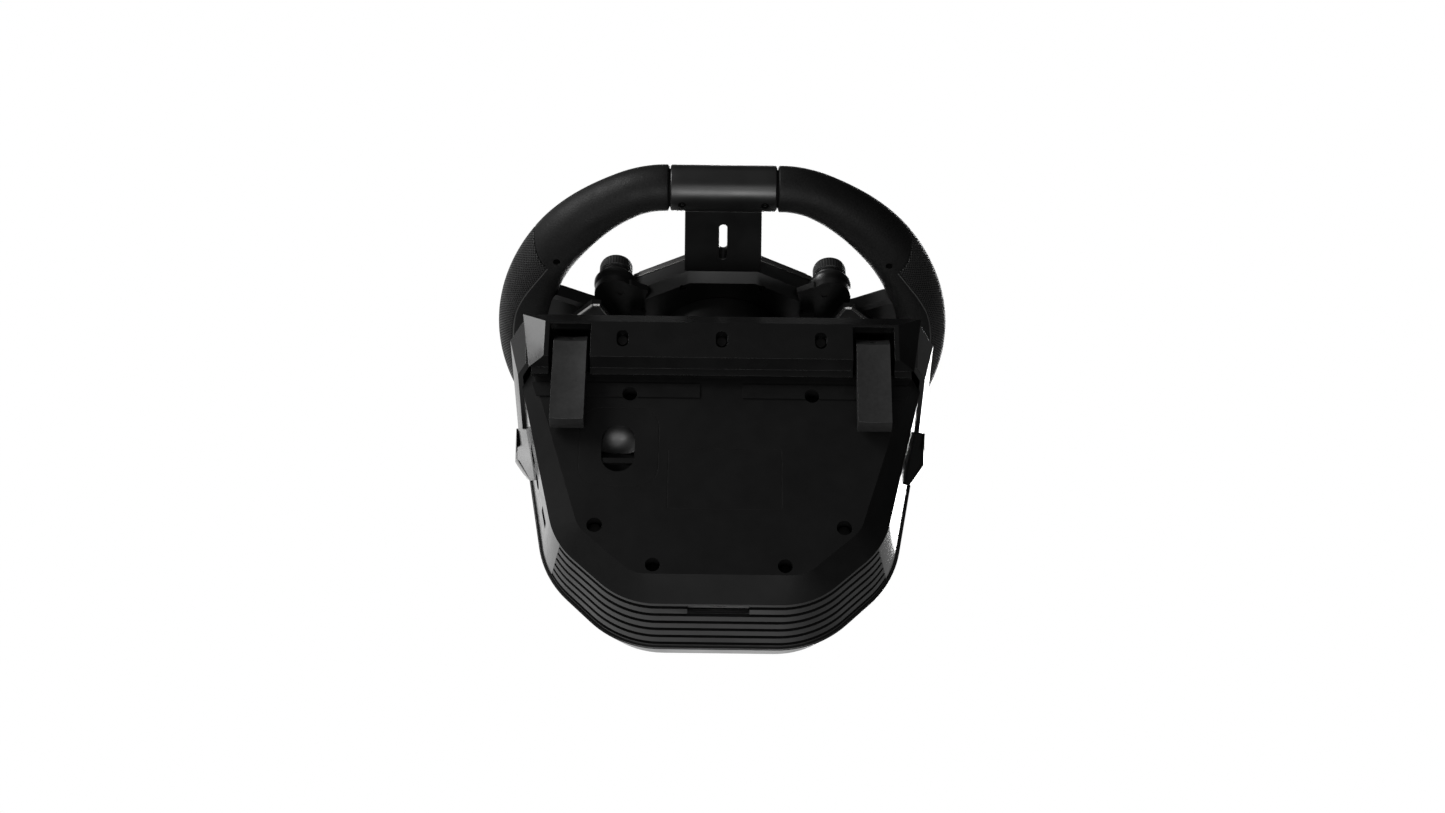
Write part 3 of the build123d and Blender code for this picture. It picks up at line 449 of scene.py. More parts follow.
def loft(name, rings, material):
    """Closed skin through rings of equal length, with flat ends."""
    columns = len(rings[0])
    points = [point for ring in rings for point in ring]
    faces = grid_faces(len(rings), columns)
    faces.append(tuple(range(columns))[::-1])
    faces.append(tuple(range(len(points) - columns, len(points))))
    return mesh_object(name, points, faces, material)


def inset(points, distance):
    """Outline moved inwards by a distance, corner by corner; points run anticlockwise."""
    moved = []
    count = len(points)
    for index, point in enumerate(points):
        before = Vector(points[index - 1])
        here = Vector(point)
        after = Vector(points[(index + 1) % count])
        first = (here - before).normalized()
        second = (after - here).normalized()
        normal_a = Vector((-first.y, first.x))
        normal_b = Vector((-second.y, second.x))
        bisector = normal_a + normal_b
        moved.append(tuple(here + bisector * distance / max(0.2, 1 + normal_a.dot(normal_b))))
    return moved


def rounded(points, radius, steps=6):
    """Outline with each corner replaced by an arc; radius is one value or one for each corner."""
    arcs = []
    count = len(points)
    for index, point in enumerate(points):
        size = radius[index] if isinstance(radius, (list, tuple)) else radius
        here = Vector(point)
        to_before = (Vector(points[index - 1]) - here).normalized()
        to_after = (Vector(points[(index + 1) % count]) - here).normalized()
        half = acos(max(-1, min(1, to_before.dot(to_after)))) / 2
        if size <= 0 or half > pi / 2 - 0.01:
            arcs.append(tuple(here))
            continue
        reach = size / tan(half)
        centre = here + (to_before + to_after).normalized() * size / sin(half)
        start = here + to_before * reach - centre
        end = here + to_after * reach - centre
        turn = atan2(start.x * end.y - start.y * end.x, start.dot(end))
        for step in range(steps + 1):
            angle = turn * step / steps
            arcs.append((centre.x + start.x * cos(angle) - start.y * sin(angle),
                         centre.y + start.x * sin(angle) + start.y * cos(angle)))
    return arcs


def turned(name, centre, direction, profile, material, steps=48):
    """Solid of revolution. profile is (distance along the direction, radius) in millimetres."""
    direction = Vector(direction).normalized()
    side = direction.orthogonal().normalized()
    other = direction.cross(side)
    rings = []
    for along, radius in profile:
        reach = max(radius, THINNEST)
        ring = []
        for step in range(steps):
            angle = 2 * pi * step / steps
            outwards = cos(angle) * side + sin(angle) * other
            ring.append(centre + MM * (along * direction + reach * outwards))
        rings.append(ring)
    return loft(name, rings, material)


# ------------------------------------------------------------------------ rim

RIM_R = 120.5                     # centre line
FLAT_DROP = 112.5
CORNER_R = 50.0
CAP_HALF = 30.5
FLAT_R = 13.3
GRIP_R = 15.99
SPINE_R = 15.3                    # under the leather
CAP_SCREW = (23.7, -110.4)        # u and v of the screws in the cap
GAP = 0.6
LEATHER_FROM = radians(-35.7)     # where the leather starts, on the outer side
LEATHER_TO = radians(48.0)
LEATHER_SLANT = 8.0               # further along on the rear and front sides
SEAM_START = radians(-87)         # leather's rear edge round the section; 0 is outwards, -90 the rear
SEAM_END = radians(-66)
LEATHER_WRAP = radians(262)

corner_v = CORNER_R - FLAT_DROP
corner_u = sqrt((RIM_R - CORNER_R) ** 2 - corner_v ** 2)
corner_turn = atan2(corner_v, corner_u) + pi / 2
ROUND_FROM = corner_u + CORNER_R * corner_turn


def rim_at(s):
    """Centre line of the rim, s mm to the right of the bottom's middle: u, v and the outward direction."""
    side = 1 if s >= 0 else -1
    s = abs(s)
    if s < corner_u:
        return side * s, -FLAT_DROP, 0.0, -1.0
    if s < ROUND_FROM:
        angle = (s - corner_u) / CORNER_R - pi / 2
        return (side * (corner_u + CORNER_R * cos(angle)), corner_v + CORNER_R * sin(angle),
                side * cos(angle), sin(angle))
    angle = (s - ROUND_FROM) / RIM_R + corner_turn - pi / 2
    return side * RIM_R * cos(angle), RIM_R * sin(angle), side * cos(angle), sin(angle)


def along_rim(angle):
    """Distance along the centre line of an angle on the round rim."""
    return ROUND_FROM + (angle - corner_turn + pi / 2) * RIM_R


def rim_point(s, section, radius, side=1):
    """Point of a rim section, at an angle round it: 0 is outwards, 90 degrees towards the driver."""
    u, v, out_u, out_v = rim_at(s)
    reach = radius * cos(section)
    return place(side * (u + reach * out_u), v + reach * out_v, radius * sin(section))


def edge_round(distance, width):
    """How far a rolled edge of that width has dropped, from 1 at the edge to 0 inside."""
    if distance >= width:
        return 0.0
    part = 1 - max(distance, 0.0) / width
    return 1 - sqrt(1 - part * part)


def smoothstep(value):
    value = min(1.0, max(0.0, value))
    return value * value * (3 - 2 * value)


def rim_skin(name, stations, sections, radius, material, side=1):
    """Closed skin along the rim through stations in s and angles round the section."""
    rings = [[rim_point(s, section, radius(s, section), side) for section in sections(s)] for s in stations]
    return loft(name, rings, material)


def even(start, end, count):
    """Evenly spaced values, ends included."""
    return [start + (end - start) * index / (count - 1) for index in range(count)]


def full_circle(count):
    """Section angles all the way round."""
    angles = [2 * pi * index / count for index in range(count)]
    return lambda s: angles


def with_ends(start, end, count, width):
    """Stations between two ends, close together over the rolled edges."""
    edge = [width * value for value in (0.0, 0.08, 0.25, 0.5, 0.75, 1.0)]
    middle = even(start + width, end - width, count)
    return [start + step for step in edge[:-1]] + middle + [end - step for step in reversed(edge[:-1])]


def rim_cap():
    """Smooth satin cap in the middle of the flat bottom, with two screw wells in its rear."""
    def radius(s, section):
        drop = edge_round(CAP_HALF - abs(s), 1.0)
        return FLAT_R - 1.6 * drop

    stations = with_ends(-CAP_HALF, CAP_HALF, 9, 1.0)
    obj = rim_skin("rim_cap_finish", stations, full_circle(96), radius, RIM_SATIN)
    wells = [turned("well", place(u, CAP_SCREW[1], -FLAT_R - 2), AXIS, [(0, 2.3), (6, 2.3)], RIM_SATIN, 32)
             for u in (-CAP_SCREW[0], CAP_SCREW[0])]
    cut(obj, *wells)
    smooth(obj)
    return attach(obj, "rim_center_cap", RIM_SATIN, replaced=("rim_center_cap",))


def leather_start(section):
    """Where the leather begins at an angle round the section."""
    return along_rim(LEATHER_FROM) + LEATHER_SLANT * sin(section) ** 2


def seam_angle(s):
    """Angle of the leather's rear edge along the grip."""
    part = smoothstep((s - along_rim(radians(-32))) / 45.0)
    return SEAM_START + part * (SEAM_END - SEAM_START)


HOLE_OUT = 119.0                  # screw hole in the rear of each lower section
HOLE_ANGLE = radians(-35.4)
HOLE_R = 2.1


def lower_section(side_name):
    """Grained lower section, whose spine runs on behind the leather up to the grip's end."""
    side = SIDES[side_name]
    begin = CAP_HALF + GAP
    leather_begins = along_rim(LEATHER_FROM)
    finish = along_rim(LEATHER_TO) - GAP / 2
    near_edges = [0.0, 0.35, 0.7, 1.1, 1.6, 2.4]

    def sections(s):
        start = seam_angle(s)
        leather_part = [start + near / GRIP_R for near in near_edges]
        leather_part += even(start + 0.25, start + LEATHER_WRAP - 0.25, 44)
        leather_part += [start + LEATHER_WRAP - near / GRIP_R for near in reversed(near_edges)]
        spine = even(start + LEATHER_WRAP, start + 2 * pi, 26)[1:-1]
        return leather_part + spine

    def radius(s, section):
        grow = smoothstep((s - ROUND_FROM + 12) / (leather_begins - ROUND_FROM + 12))
        size = FLAT_R + (GRIP_R - FLAT_R) * grow
        size -= 2.0 * edge_round(min(s - begin, finish - s), 1.2)
        around = (section - seam_angle(s)) * GRIP_R
        inside = min(around, LEATHER_WRAP * GRIP_R - around)
        past = s - leather_start(section) + 0.7
        if past > 0 and inside > 0:
            step = min(1.0, inside / 0.7) * min(1.0, past / 0.4)
            size -= (GRIP_R - SPINE_R + 0.1) * step
            size -= 0.5 * step * max(0.0, 1 - past / 3.0)
        return size

    base = with_ends(begin, leather_begins - 4, 46, 1.2)[:-5]
    edge = even(leather_begins - 3.2, leather_begins + LEATHER_SLANT + 2, 40)
    grip = with_ends(leather_begins + LEATHER_SLANT + 3, finish, 70, 1.2)[5:]
    obj = rim_skin(f"rim_lower_{side_name}_finish", base + edge + grip, sections, radius, GRAINED, side)
    hole = place(side * HOLE_OUT * cos(HOLE_ANGLE), HOLE_OUT * sin(HOLE_ANGLE), -20)
    cut(obj, turned("hole", hole, AXIS, [(0, HOLE_R), (9.0, HOLE_R)], GRAINED, 28))
    smooth(obj, 50)
    return attach(obj, f"rim_lower_{side_name}", GRAINED, replaced=(f"rim_lower_{side_name}",))


EDGE_STEPS = [0.0, 0.12, 0.35, 0.7, 1.2, 2.0]     # over the leather's rolled edge


def leather_grip(side_name):
    """Leather skin round the outer, front and inner sides of the grip, with rolled edges."""
    side = SIDES[side_name]
    finish = along_rim(LEATHER_TO) - GAP / 2
    wrap = LEATHER_WRAP * GRIP_R
    spread = EDGE_STEPS + even(3.5, wrap - 3.5, 64) + [wrap - near for near in reversed(EDGE_STEPS)]
    rows = [(0.0, near) for near in EDGE_STEPS]
    rows += [(part, 0.0) for part in even(0.03, 0.97, 78)]
    rows += [(1.0, -near) for near in reversed(EDGE_STEPS)]
    outer = []
    inner = []
    flat = []
    for part, extra in rows:
        outer_ring = []
        inner_ring = []
        for around in spread:
            rough_s = along_rim(LEATHER_FROM) + part * (finish - along_rim(LEATHER_FROM))
            section = seam_angle(rough_s) + around / GRIP_R
            start = leather_start(section)
            s = start + part * (finish - start) + extra
            edge = min(around, wrap - around, s - start, finish - s)
            drop = 0.62 * edge_round(edge, 1.3)
            outer_ring.append(rim_point(s, section, GRIP_R - drop, side))
            inner_ring.append(rim_point(s, section, SPINE_R - 0.2, side))
            flat.append((s * MM, around * MM))
        outer.append(outer_ring)
        inner.append(inner_ring)
    count = len(spread)
    total = len(outer)
    points = [p for ring in outer for p in ring] + [p for ring in inner for p in ring]
    faces = grid_faces(total, count, closed_columns=False)
    faces += [face[::-1] for face in grid_faces(total, count, closed_columns=False, first=total * count)]
    shift = total * count
    for row in range(total - 1):
        for column in (0, count - 1):
            a = row * count + column
            faces.append((a, a + count, a + count + shift, a + shift))
    for column in range(count - 1):
        for row in (0, total - 1):
            a = row * count + column
            faces.append((a, a + 1, a + 1 + shift, a + shift))
    name = f"grip_{side_name}_leather"
    mesh = bpy.data.meshes.new(name)
    mesh.from_pydata([tuple(point) for point in points], [], faces)
    uv_layer = mesh.uv_layers.new(name="surface")
    for loop in mesh.loops:
        uv_layer.data[loop.index].uv = flat[loop.vertex_index % shift]
    obj = bpy.data.objects.new(name, mesh)
    bpy.context.scene.collection.objects.link(obj)
    mesh.materials.append(LEATHER)
    work = bmesh.new()
    work.from_mesh(mesh)
    bmesh.ops.recalc_face_normals(work, faces=work.faces)
    work.to_mesh(mesh)
    work.free()
    smooth(obj, 50)
    return attach(obj, f"grip_{side_name}", LEATHER, replaced=(f"grip_{side_name}",))


def seam_trim(side_name):
    """Thin metal bead that closes the leather's rear edge."""
    side = SIDES[side_name]
    start = leather_start(SEAM_START) + 0.4
    finish = along_rim(LEATHER_TO) - 1.5
    rings = []
    for s in even(start, finish, 90):
        section = seam_angle(s) - 0.55 / GRIP_R
        middle = rim_point(s, section, GRIP_R - 0.25, side)
        out = (rim_point(s, section, GRIP_R + 1, side) - middle).normalized()
        ahead = (rim_point(s + 0.5, section, GRIP_R - 0.25, side) - middle).normalized()
        across = out.cross(ahead)
        ring = []
        for step in range(10):
            angle = 2 * pi * step / 10
            ring.append(middle + MM * (0.32 * cos(angle) * out + 0.6 * sin(angle) * across))
        rings.append(ring)
    obj = loft(f"seam_trim_{side_name}", rings, PLATE_METAL)
    smooth(obj, 60)
    return attach(obj, f"grip_{side_name}", PLATE_METAL)


CROWN_BAND = 3.6                  # half width of the band between the grooves
CROWN_GROOVE = 4.6


def rim_crown():
    """Grained top section, with a narrow band between two grooves at twelve o'clock."""
    begin = along_rim(LEATHER_TO) + GAP / 2
    finish = along_rim(radians(132)) - GAP / 2
    middle = (begin + finish) / 2

    def radius(s, section):
        distance = min(s - begin, finish - s)
        size = 14.5 + 1.3 * (1 - smoothstep(distance / 30))
        size -= 2.0 * edge_round(distance, 1.2)
        off = abs(s - middle)
        if CROWN_BAND < off < CROWN_GROOVE:
            size -= 0.5
        return size

    near_grooves = [CROWN_BAND - 0.2, CROWN_BAND, CROWN_BAND + 0.2, CROWN_GROOVE - 0.2, CROWN_GROOVE,
                    CROWN_GROOVE + 0.2]
    stations = with_ends(begin, middle - 5.2, 40, 1.2)[:-5]
    stations += [middle - off for off in reversed(near_grooves)]
    stations += [middle]
    stations += [middle + off for off in near_grooves]
    stations += with_ends(middle + 5.2, finish, 40, 1.2)[5:]
    obj = rim_skin("rim_top_finish", stations, full_circle(80), radius, GRAINED)
    smooth(obj, 50)
    return attach(obj, "rim_top", GRAINED, replaced=("rim_top",))


def rim_liners():
    """Dark sleeves inside the rim's joints, so that no light shows through the gaps."""
    for side_name, side in SIDES.items():
        for place_name, middle, size in (("low", CAP_HALF + GAP / 2, FLAT_R - 2.4),
                                         ("high", along_rim(LEATHER_TO), SPINE_R - 2.6)):
            stations = even(middle - 2.5, middle + 2.5, 6)
            obj = rim_skin(f"rim_liner_{place_name}_{side_name}", stations, full_circle(72),
                           lambda s, section: size, RUBBER, side)
            smooth(obj)
            attach(obj, "rim_core", RUBBER)


rim_cap()
rim_crown()
rim_liners()
for side_name in SIDES:
    lower_section(side_name)
    leather_grip(side_name)
    seam_trim(side_name)

# ------------------------------------------------------------------------ base

def outline_groove(low, high, radius, width, depth):
    """Closed ring to cut a fine line round a rounded rectangle in the underside."""
    corners = [(low[0], low[1]), (high[0], low[1]), (high[0], high[1]), (low[0], high[1])]
    outer = rounded(corners, radius)
    inner = rounded(inset(corners, width), radius - width)
    rings = [[spot(*a, -1), spot(*a, depth), spot(*b, depth), spot(*b, -1)] for a, b in zip(outer, inner)]
    points = [point for ring in rings for point in ring]
    return mesh_object("groove", points, grid_faces(len(rings), 4, closed_rows=True), UNDER)


HOOK = (-55.4, 42.0)              # cable hook well: middle, half width and depth
HOOK_R = 9.0
HOOK_DEEP = 9.0
SCOOP_R = 16.2
SCOOP_AT = (43.0, -7.0)           # y and z of the scoop's middle


def bottom_cover():
    """Underside with its wells, and the faint outlines of a badge and a label field."""
    return finish_copy("bottom_cover", UNDER, 0.5, cutters=(
        outline_groove((-76.8, 17.3), (-33.3, 65.0), 12.0, 0.35, 0.12),
        outline_groove((-28.4, 41.6), (33.3, 78.0), 1.5, 0.35, 0.12),
    ))


def hook_scoop():
    """Bowl that leads into the front half of the cable hook well."""
    centre_y = HOOK[1] - 5.0
    arc = [(HOOK[0] - (HOOK_R + 0.1) * cos(pi * step / 24), centre_y - (HOOK_R + 0.1) * sin(pi * step / 24))
           for step in range(25)]
    outline = arc + [(HOOK[0] + HOOK_R + 0.1, 41.0), (HOOK[0] - HOOK_R - 0.1, 41.0)]
    obj = loft("hook_scoop", [[spot(x, y, z) for x, y in outline] for z in (0.25, HOOK_DEEP + 0.3)], SCOOP)
    profile = [(-SCOOP_R * cos(pi * step / 48), SCOOP_R * sin(pi * step / 48)) for step in range(49)]
    cut(obj, turned("bowl", spot(HOOK[0], *SCOOP_AT), (1, 0, 0), profile, SCOOP, 96))
    smooth(obj, 35)
    return attach(obj, "bottom_cover", SCOOP)


def y_at(w, z):
    """y of a point of the wheel frame's plane w at height z."""
    return HUB_CENTRE.y / MM + ((z - HUB_CENTRE.z / MM) * AXIS.z - w) / -AXIS.y


ARM_X = 83.4                      # middle of the arms
ARM_HALF = 9.2
ARM_LOW = -11.5
ARM_TIP_Y = 31.4
ARM_HEEL_Y = -18.0                # where the flat underside starts
ARM_TOE_Y = 30.0                  # where it ends
ARM_OVER_Z = -2.5                 # upper face of the arm, under the desk
VALLEY = 0.9
LEG_FRONT_W = -89.5               # the leg up to the screw
LEG_REAR_W = -103.5
LEG_TOP_V = -28.0
SCREW_W = -96.5
SCREW_BORE_R = 4.05


def clamp_arm(side_name):
    """Clamp arm with a shallow valley along its underside and a steep bevel at its tip."""
    side = SIDES[side_name]
    top_front = place(0, LEG_TOP_V, LEG_FRONT_W) / MM
    top_rear = place(0, LEG_TOP_V, LEG_REAR_W) / MM
    under = [(y_at(LEG_FRONT_W, ARM_LOW + 5.5), ARM_LOW + 5.5), (ARM_HEEL_Y, ARM_LOW), (ARM_TOE_Y, ARM_LOW),
             (ARM_TIP_Y, ARM_LOW + 3.6)]
    over = [(ARM_TIP_Y, ARM_OVER_Z), (y_at(LEG_REAR_W, ARM_OVER_Z), ARM_OVER_Z), (top_rear.y, top_rear.z),
            (top_front.y, top_front.z)]
    rings = []
    for across in (-ARM_HALF, 0.0, ARM_HALF):
        lift = VALLEY if across == 0 else 0.0
        lower = [(y, z + lift) for y, z in under]
        rings.append([spot(side * ARM_X + across, y, z) for y, z in lower + over])
    obj = loft(f"clamp_arm_{side_name}_finish", rings, ARM_PAINT)
    bore_top = place(side * ARM_X, LEG_TOP_V + 1, SCREW_W)
    cut(obj, turned("bore", bore_top, -UP, [(0, SCREW_BORE_R), (53, SCREW_BORE_R)], ARM_PAINT))
    round_edges(obj, 0.5, 3)
    return attach(obj, f"clamp_arm_{side_name}", ARM_PAINT, replaced=(f"clamp_arm_{side_name}",))


HOUSING_FACE_W = -76.0
HOUSING_REAR_W = -106.0
HOUSING_SIDE_X = 98.0             # the sides lie beyond this
HOUSING_TAPER = 7.0               # how much narrower each side is at the rear edge


def front_housing():
    """Front housing, whose sides draw in towards the covers behind it."""
    obj = clean_copy("front_housing")
    for vertex in obj.data.vertices:
        if abs(vertex.co.x) < HOUSING_SIDE_X * MM:
            continue
        w = (vertex.co - HUB_CENTRE).dot(AXIS) / MM
        back = (HOUSING_FACE_W - w) / (HOUSING_FACE_W - HOUSING_REAR_W)
        sideways = 1 if vertex.co.x > 0 else -1
        vertex.co.x -= sideways * HOUSING_TAPER * MM * min(1.0, max(0.0, back))
    obj.data.materials.append(BEZEL)
    round_edges(obj, 0.8, 3)
    return attach(obj, "front_housing", BEZEL, replaced=("front_housing",))


FIN_SLOPE = 0.52                  # rise of a fin's foot for each mm outwards
FIN_INNER_X = 105.0


def side_fin(side_name):
    """Side fin, whose foot slopes up towards its outer edge."""
    node = f"side_fin_{side_name}"
    obj = clean_copy(node)
    foot = min(vertex.co.z for vertex in obj.data.vertices)
    for vertex in obj.data.vertices:
        outwards = abs(vertex.co.x) - FIN_INNER_X * MM
        if vertex.co.z - foot < 0.5 * MM and outwards > 0:
            vertex.co.z += FIN_SLOPE * outwards
    obj.data.materials.append(BEZEL)
    round_edges(obj, 0.6, 3)
    return attach(obj, node, BEZEL, replaced=(node,))


def usb_tongue():
    """Contact tongue in the mouth of the USB-C shell."""
    low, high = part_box("usb_port")
    middle = (Vector(low) + Vector(high)) / 2
    wide, thick = 3.3, 0.35
    outline = rounded([(-wide, -thick), (wide, -thick), (wide, thick), (-wide, thick)], 0.25, 3)
    mouth = high[1]
    rings = [[Vector((middle.x + x * MM, y, middle.z + z * MM)) for x, z in outline]
             for y in (mouth - 5.0 * MM, mouth - 0.9 * MM)]
    obj = loft("usb_tongue", rings, GOLD)
    smooth(obj, 40)
    return attach(obj, "usb_port", GOLD)


NOTCH_HALF = 16.5
NOTCH_ZONE = (17.5, 124.0, 13.0, 23.0)      # half width, front y, low and high z
SLIVER_Y = (127.3, 135.0)         # thin skin between the notch and the groove above it
SLIVER_Z = (21.0, 22.6)
RIB_EDGE = 1.3


def rear_band():
    """Ribbed rear band. The socket's notch runs on into the groove above it, and its edges stay sharp."""
    obj = clean_copy("rear_vent_band")
    near, far = SLIVER_Y
    sliver = [(-NOTCH_HALF, near), (NOTCH_HALF, near), (NOTCH_HALF, far), (-NOTCH_HALF, far)]
    cut(obj, loft("sliver", [[spot(x, y, z) for x, y in sliver] for z in SLIVER_Z], RIBBED))
    work = bmesh.new()
    work.from_mesh(obj.data)
    weight = work.edges.layers.float.new("bevel_weight_edge")
    half, front, low, high = NOTCH_ZONE
    for edge in work.edges:
        at_notch = all(abs(vertex.co.x) < half * MM and vertex.co.y > front * MM
                       and low * MM < vertex.co.z < high * MM for vertex in edge.verts)
        sharp = len(edge.link_faces) == 2 and edge.calc_face_angle() > SHARP
        edge[weight] = 1.0 if sharp and not at_notch else 0.0
    work.to_mesh(obj.data)
    work.free()
    obj.data.materials.append(RIBBED)
    round_edges(obj, RIB_EDGE, 5, limit="WEIGHT")
    return attach(obj, "rear_vent_band", RIBBED, replaced=("rear_vent_band",))


def slot_ring(name, y_low, y_high, outer, inner, material):
    """Flat ring round the USB-C mouth, between two rounded rectangles given as (width, height, radius)."""
    low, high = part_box("usb_port")
    middle = (Vector(low) + Vector(high)) / (2 * MM)
    outlines = []
    for width, height, radius in (outer, inner):
        corners = [(-width / 2, -height / 2), (width / 2, -height / 2), (width / 2, height / 2),
                   (-width / 2, height / 2)]
        outlines.append(rounded(corners, radius, 8))
    points = []
    for a, b in zip(*outlines):
        for (x, z), y in ((a, y_low), (a, y_high), (b, y_high), (b, y_low)):
            points.append(spot(middle.x + x, y, middle.z + z))
    obj = mesh_object(name, points, grid_faces(len(outlines[0]), 4, closed_rows=True), material)
    smooth(obj, 40)
    return obj


USB_OPENING = (9.8, 3.9, 1.94)    # width, height and corner radius
USB_FLANGE = (9.6, 3.7, 1.84)
USB_MOUTH = (8.4, 2.6, 1.29)
USB_PAINTED_LIGHT_PANEL = (32.6, 7.6, 0.6)


def usb_surround():
    """Pale panel at the back of the socket's notch, a painted reflection of the light its face catches, and the
    shell's bright flange in it.
    """
    # painted reflection: the pale panel is coloured light for the light its face catches
    panel = slot_ring("usb_painted_light_panel", 125.05, 125.45, USB_PAINTED_LIGHT_PANEL, USB_OPENING, PAINTED_LIGHT_PLATE)
    attach(panel, "rear_vent_band", PAINTED_LIGHT_PLATE)
    flange = slot_ring("usb_flange", 124.6, 125.5, USB_FLANGE, USB_MOUTH, BRIGHT)
    attach(flange, "usb_port", BRIGHT)


bottom_cover()
hook_scoop()
front_housing()
rear_band()
usb_tongue()
usb_surround()
for side_name in SIDES:
    clamp_arm(side_name)
    side_fin(side_name)

# ------------------------------------------------------------------- hub and pods

POD_SPOT = (64.0, -42.0)
POD_PROFILE = [(-13.6, 8.4), (-13.2, 8.9), (-6.4, 12.3), (-5.2, 12.6), (-3.4, 12.6), (-2.6, 12.1),
               (-2.4, 9.0)]       # w and radius


def dial_pod(side_name):
    """Cone that flares from the hub's flat rear face out to the dial, with a dark groove above it."""
    side = SIDES[side_name]
    centre = place(side * POD_SPOT[0], POD_SPOT[1], 0)
    obj = turned(f"dial_pod_{side_name}", centre, AXIS, POD_PROFILE, MATT, 96)
    smooth(obj, 30)
    return attach(obj, "hub_rear_cover", MATT)


DIAL_R = 10.0
DIAL_FRONT = 12.0
DIAL_RIDGES = 36
DIAL_STEPS = 6 * DIAL_RIDGES
RIDGE_DEEP = 0.28


def dial_knob(side_name):
    """Dial with two turned bands below its knurled grip, and a dished front."""
    side = SIDES[side_name]
    node = f"dial_knob_{side_name}"
    centre = place(side * POD_SPOT[0], POD_SPOT[1], 0)
    profile = [(-1.3, 8.6), (-1.1, 9.3), (0.9, 9.9), (1.2, 9.9), (1.5, 9.4), (1.9, 9.4), (2.2, DIAL_R),
               (2.9, DIAL_R), (3.3, 9.4), (3.7, 9.4), (4.0, 9.9), (4.4, DIAL_R), (9.6, DIAL_R), (10.2, 9.9),
               (DIAL_FRONT - 0.5, 9.5), (DIAL_FRONT, 8.9), (DIAL_FRONT, 7.6), (DIAL_FRONT - 0.5, 6.9),
               (DIAL_FRONT - 0.6, 0.0)]
    rings = []
    for along, radius in profile:
        ring = []
        for step in range(DIAL_STEPS):
            angle = 2 * pi * step / DIAL_STEPS
            grip = RIDGE_DEEP * (0.5 - 0.5 * cos(DIAL_RIDGES * angle)) if 4.2 < along < 10.0 else 0.0
            reach = max(radius - grip, THINNEST)
            ring.append(centre + MM * (along * AXIS + reach * (cos(angle) * X + sin(angle) * UP)))
        rings.append(ring)
    obj = loft(f"{node}_finish", rings, KNOB)
    smooth(obj, 32)
    return attach(obj, node, KNOB, replaced=(node,))


PADDLE = [(48.5, -20.0), (58.0, -20.0), (71.5, -44.2), (77.0, -44.2), (96.0, -26.0), (99.0, 12.0),
          (92.0, 40.0), (78.0, 44.0), (60.0, 20.0), (48.5, 20.0)]


BORDER = [(0.0, -23.9), (0.0, -24.1), (0.8, -24.9), (1.4, -24.9), (1.7, -24.6), (1.7, -23.9)]


def paddle_border(side_name):
    """Bright chamfered border that stands proud round the paddle's rear face."""
    side = SIDES[side_name]
    outer = rounded(inset(PADDLE, 0.4), 2.4, 5)
    lines = [[place(side * u, v, w) for u, v in inset(outer, inwards)] for inwards, w in BORDER]
    points = [point for ring in zip(*lines) for point in ring]
    faces = grid_faces(len(outer), len(BORDER), closed_rows=True)
    obj = mesh_object(f"paddle_border_{side_name}", points, faces, PADDLE_EDGE)
    smooth(obj, 25)
    return attach(obj, f"paddle_{side_name}", PADDLE_EDGE)


SCREW_HEADS = [(*CAP_SCREW, -12.1), (23.5, -48.3, -13.2), (60.5, -44.3, -13.2)]     # u, v and w


def wheel_screws():
    """Countersunk screws of the rim cap and the hub, with hexagon sockets."""
    sockets = []
    for side in SIDES.values():
        for u, v, w in SCREW_HEADS:
            sockets.append(turned("socket", place(side * u, v, w - 0.6), AXIS, [(0, 1.05), (1.6, 1.05)],
                                  BLACK_STEEL, 6))
    return finish_copy("wheel_screws", BLACK_STEEL, 0.25, 2, cutters=sockets)


for side_name in SIDES:
    dial_pod(side_name)
    dial_knob(side_name)
    paddle_border(side_name)
wheel_screws()

# ---------------------------------------- pieces whose CAD shape only needs its edges

for node_name, material, width, segments in (
    ("side_panel_left", GLOSS, 0.4, 3), ("side_panel_right", GLOSS, 0.4, 3),
    ("top_shell", BEZEL, 1.2, 4),
    ("desk_lip", LIP, 1.1, 4), ("rubber_pads", RUBBER, 0.15, 2),
    ("lower_spoke", SATIN, 2.6, 5),
    ("hub_rear_cover", MATT, 0.8, 4), ("hub_front_plate", PLATE_METAL, 0.4, 3),
    ("control_panel", SATIN, 0.7, 4), ("spoke_cover_left", MATT, 1.2, 4),
    ("spoke_cover_right", MATT, 1.2, 4), ("paddle_left", PADDLE_METAL, 0.6, 3),
    ("paddle_right", PADDLE_METAL, 0.6, 3), ("column_collar", MATT, 0.5, 3),
    ("column_shroud", MATT, 0.8, 3), ("clamp_knob_left", KNOB, 1.4, 4),
    ("clamp_knob_right", KNOB, 1.4, 4), ("clamp_screw_left", STEEL, 0.4, 2),
    ("clamp_screw_right", STEEL, 0.4, 2), ("base_screws", BLACK_STEEL, 0.35, 3),
    ("power_button", KNOB, 0.7, 4), ("button_a", CAP, 0.8, 4), ("button_b", CAP, 0.8, 4),
    ("button_x", CAP, 0.8, 4), ("button_y", CAP, 0.8, 4), ("button_menu", CAP, 0.5, 3),
    ("button_view", CAP, 0.5, 3), ("dpad", CAP, 0.8, 4), ("usb_port", BRIGHT, 0.2, 2),
    ("status_lens", LENS, 0.3, 2), ("port_block", MATT, 0.3, 2),
):
    finish_copy(node_name, material, width, segments)

# ---------------------------------------------------------------- light and camera

FLOOR_Z = -1.3                    # metres, as all of this section
FLOOR_HALF = 6.0
SKY = 1.0                         # brightness straight above, at the horizon and below
HORIZON = 0.03
BELOW = 0.165
SKY_RISE = (0.35, 0.75)           # heights between which the sky brightens
BELOW_RISE = (-0.15, -0.40)
RIGHT_SHARE = 0.35                # how much of the sky is left on the right
RIGHT_FADE = (0.0, 0.35)

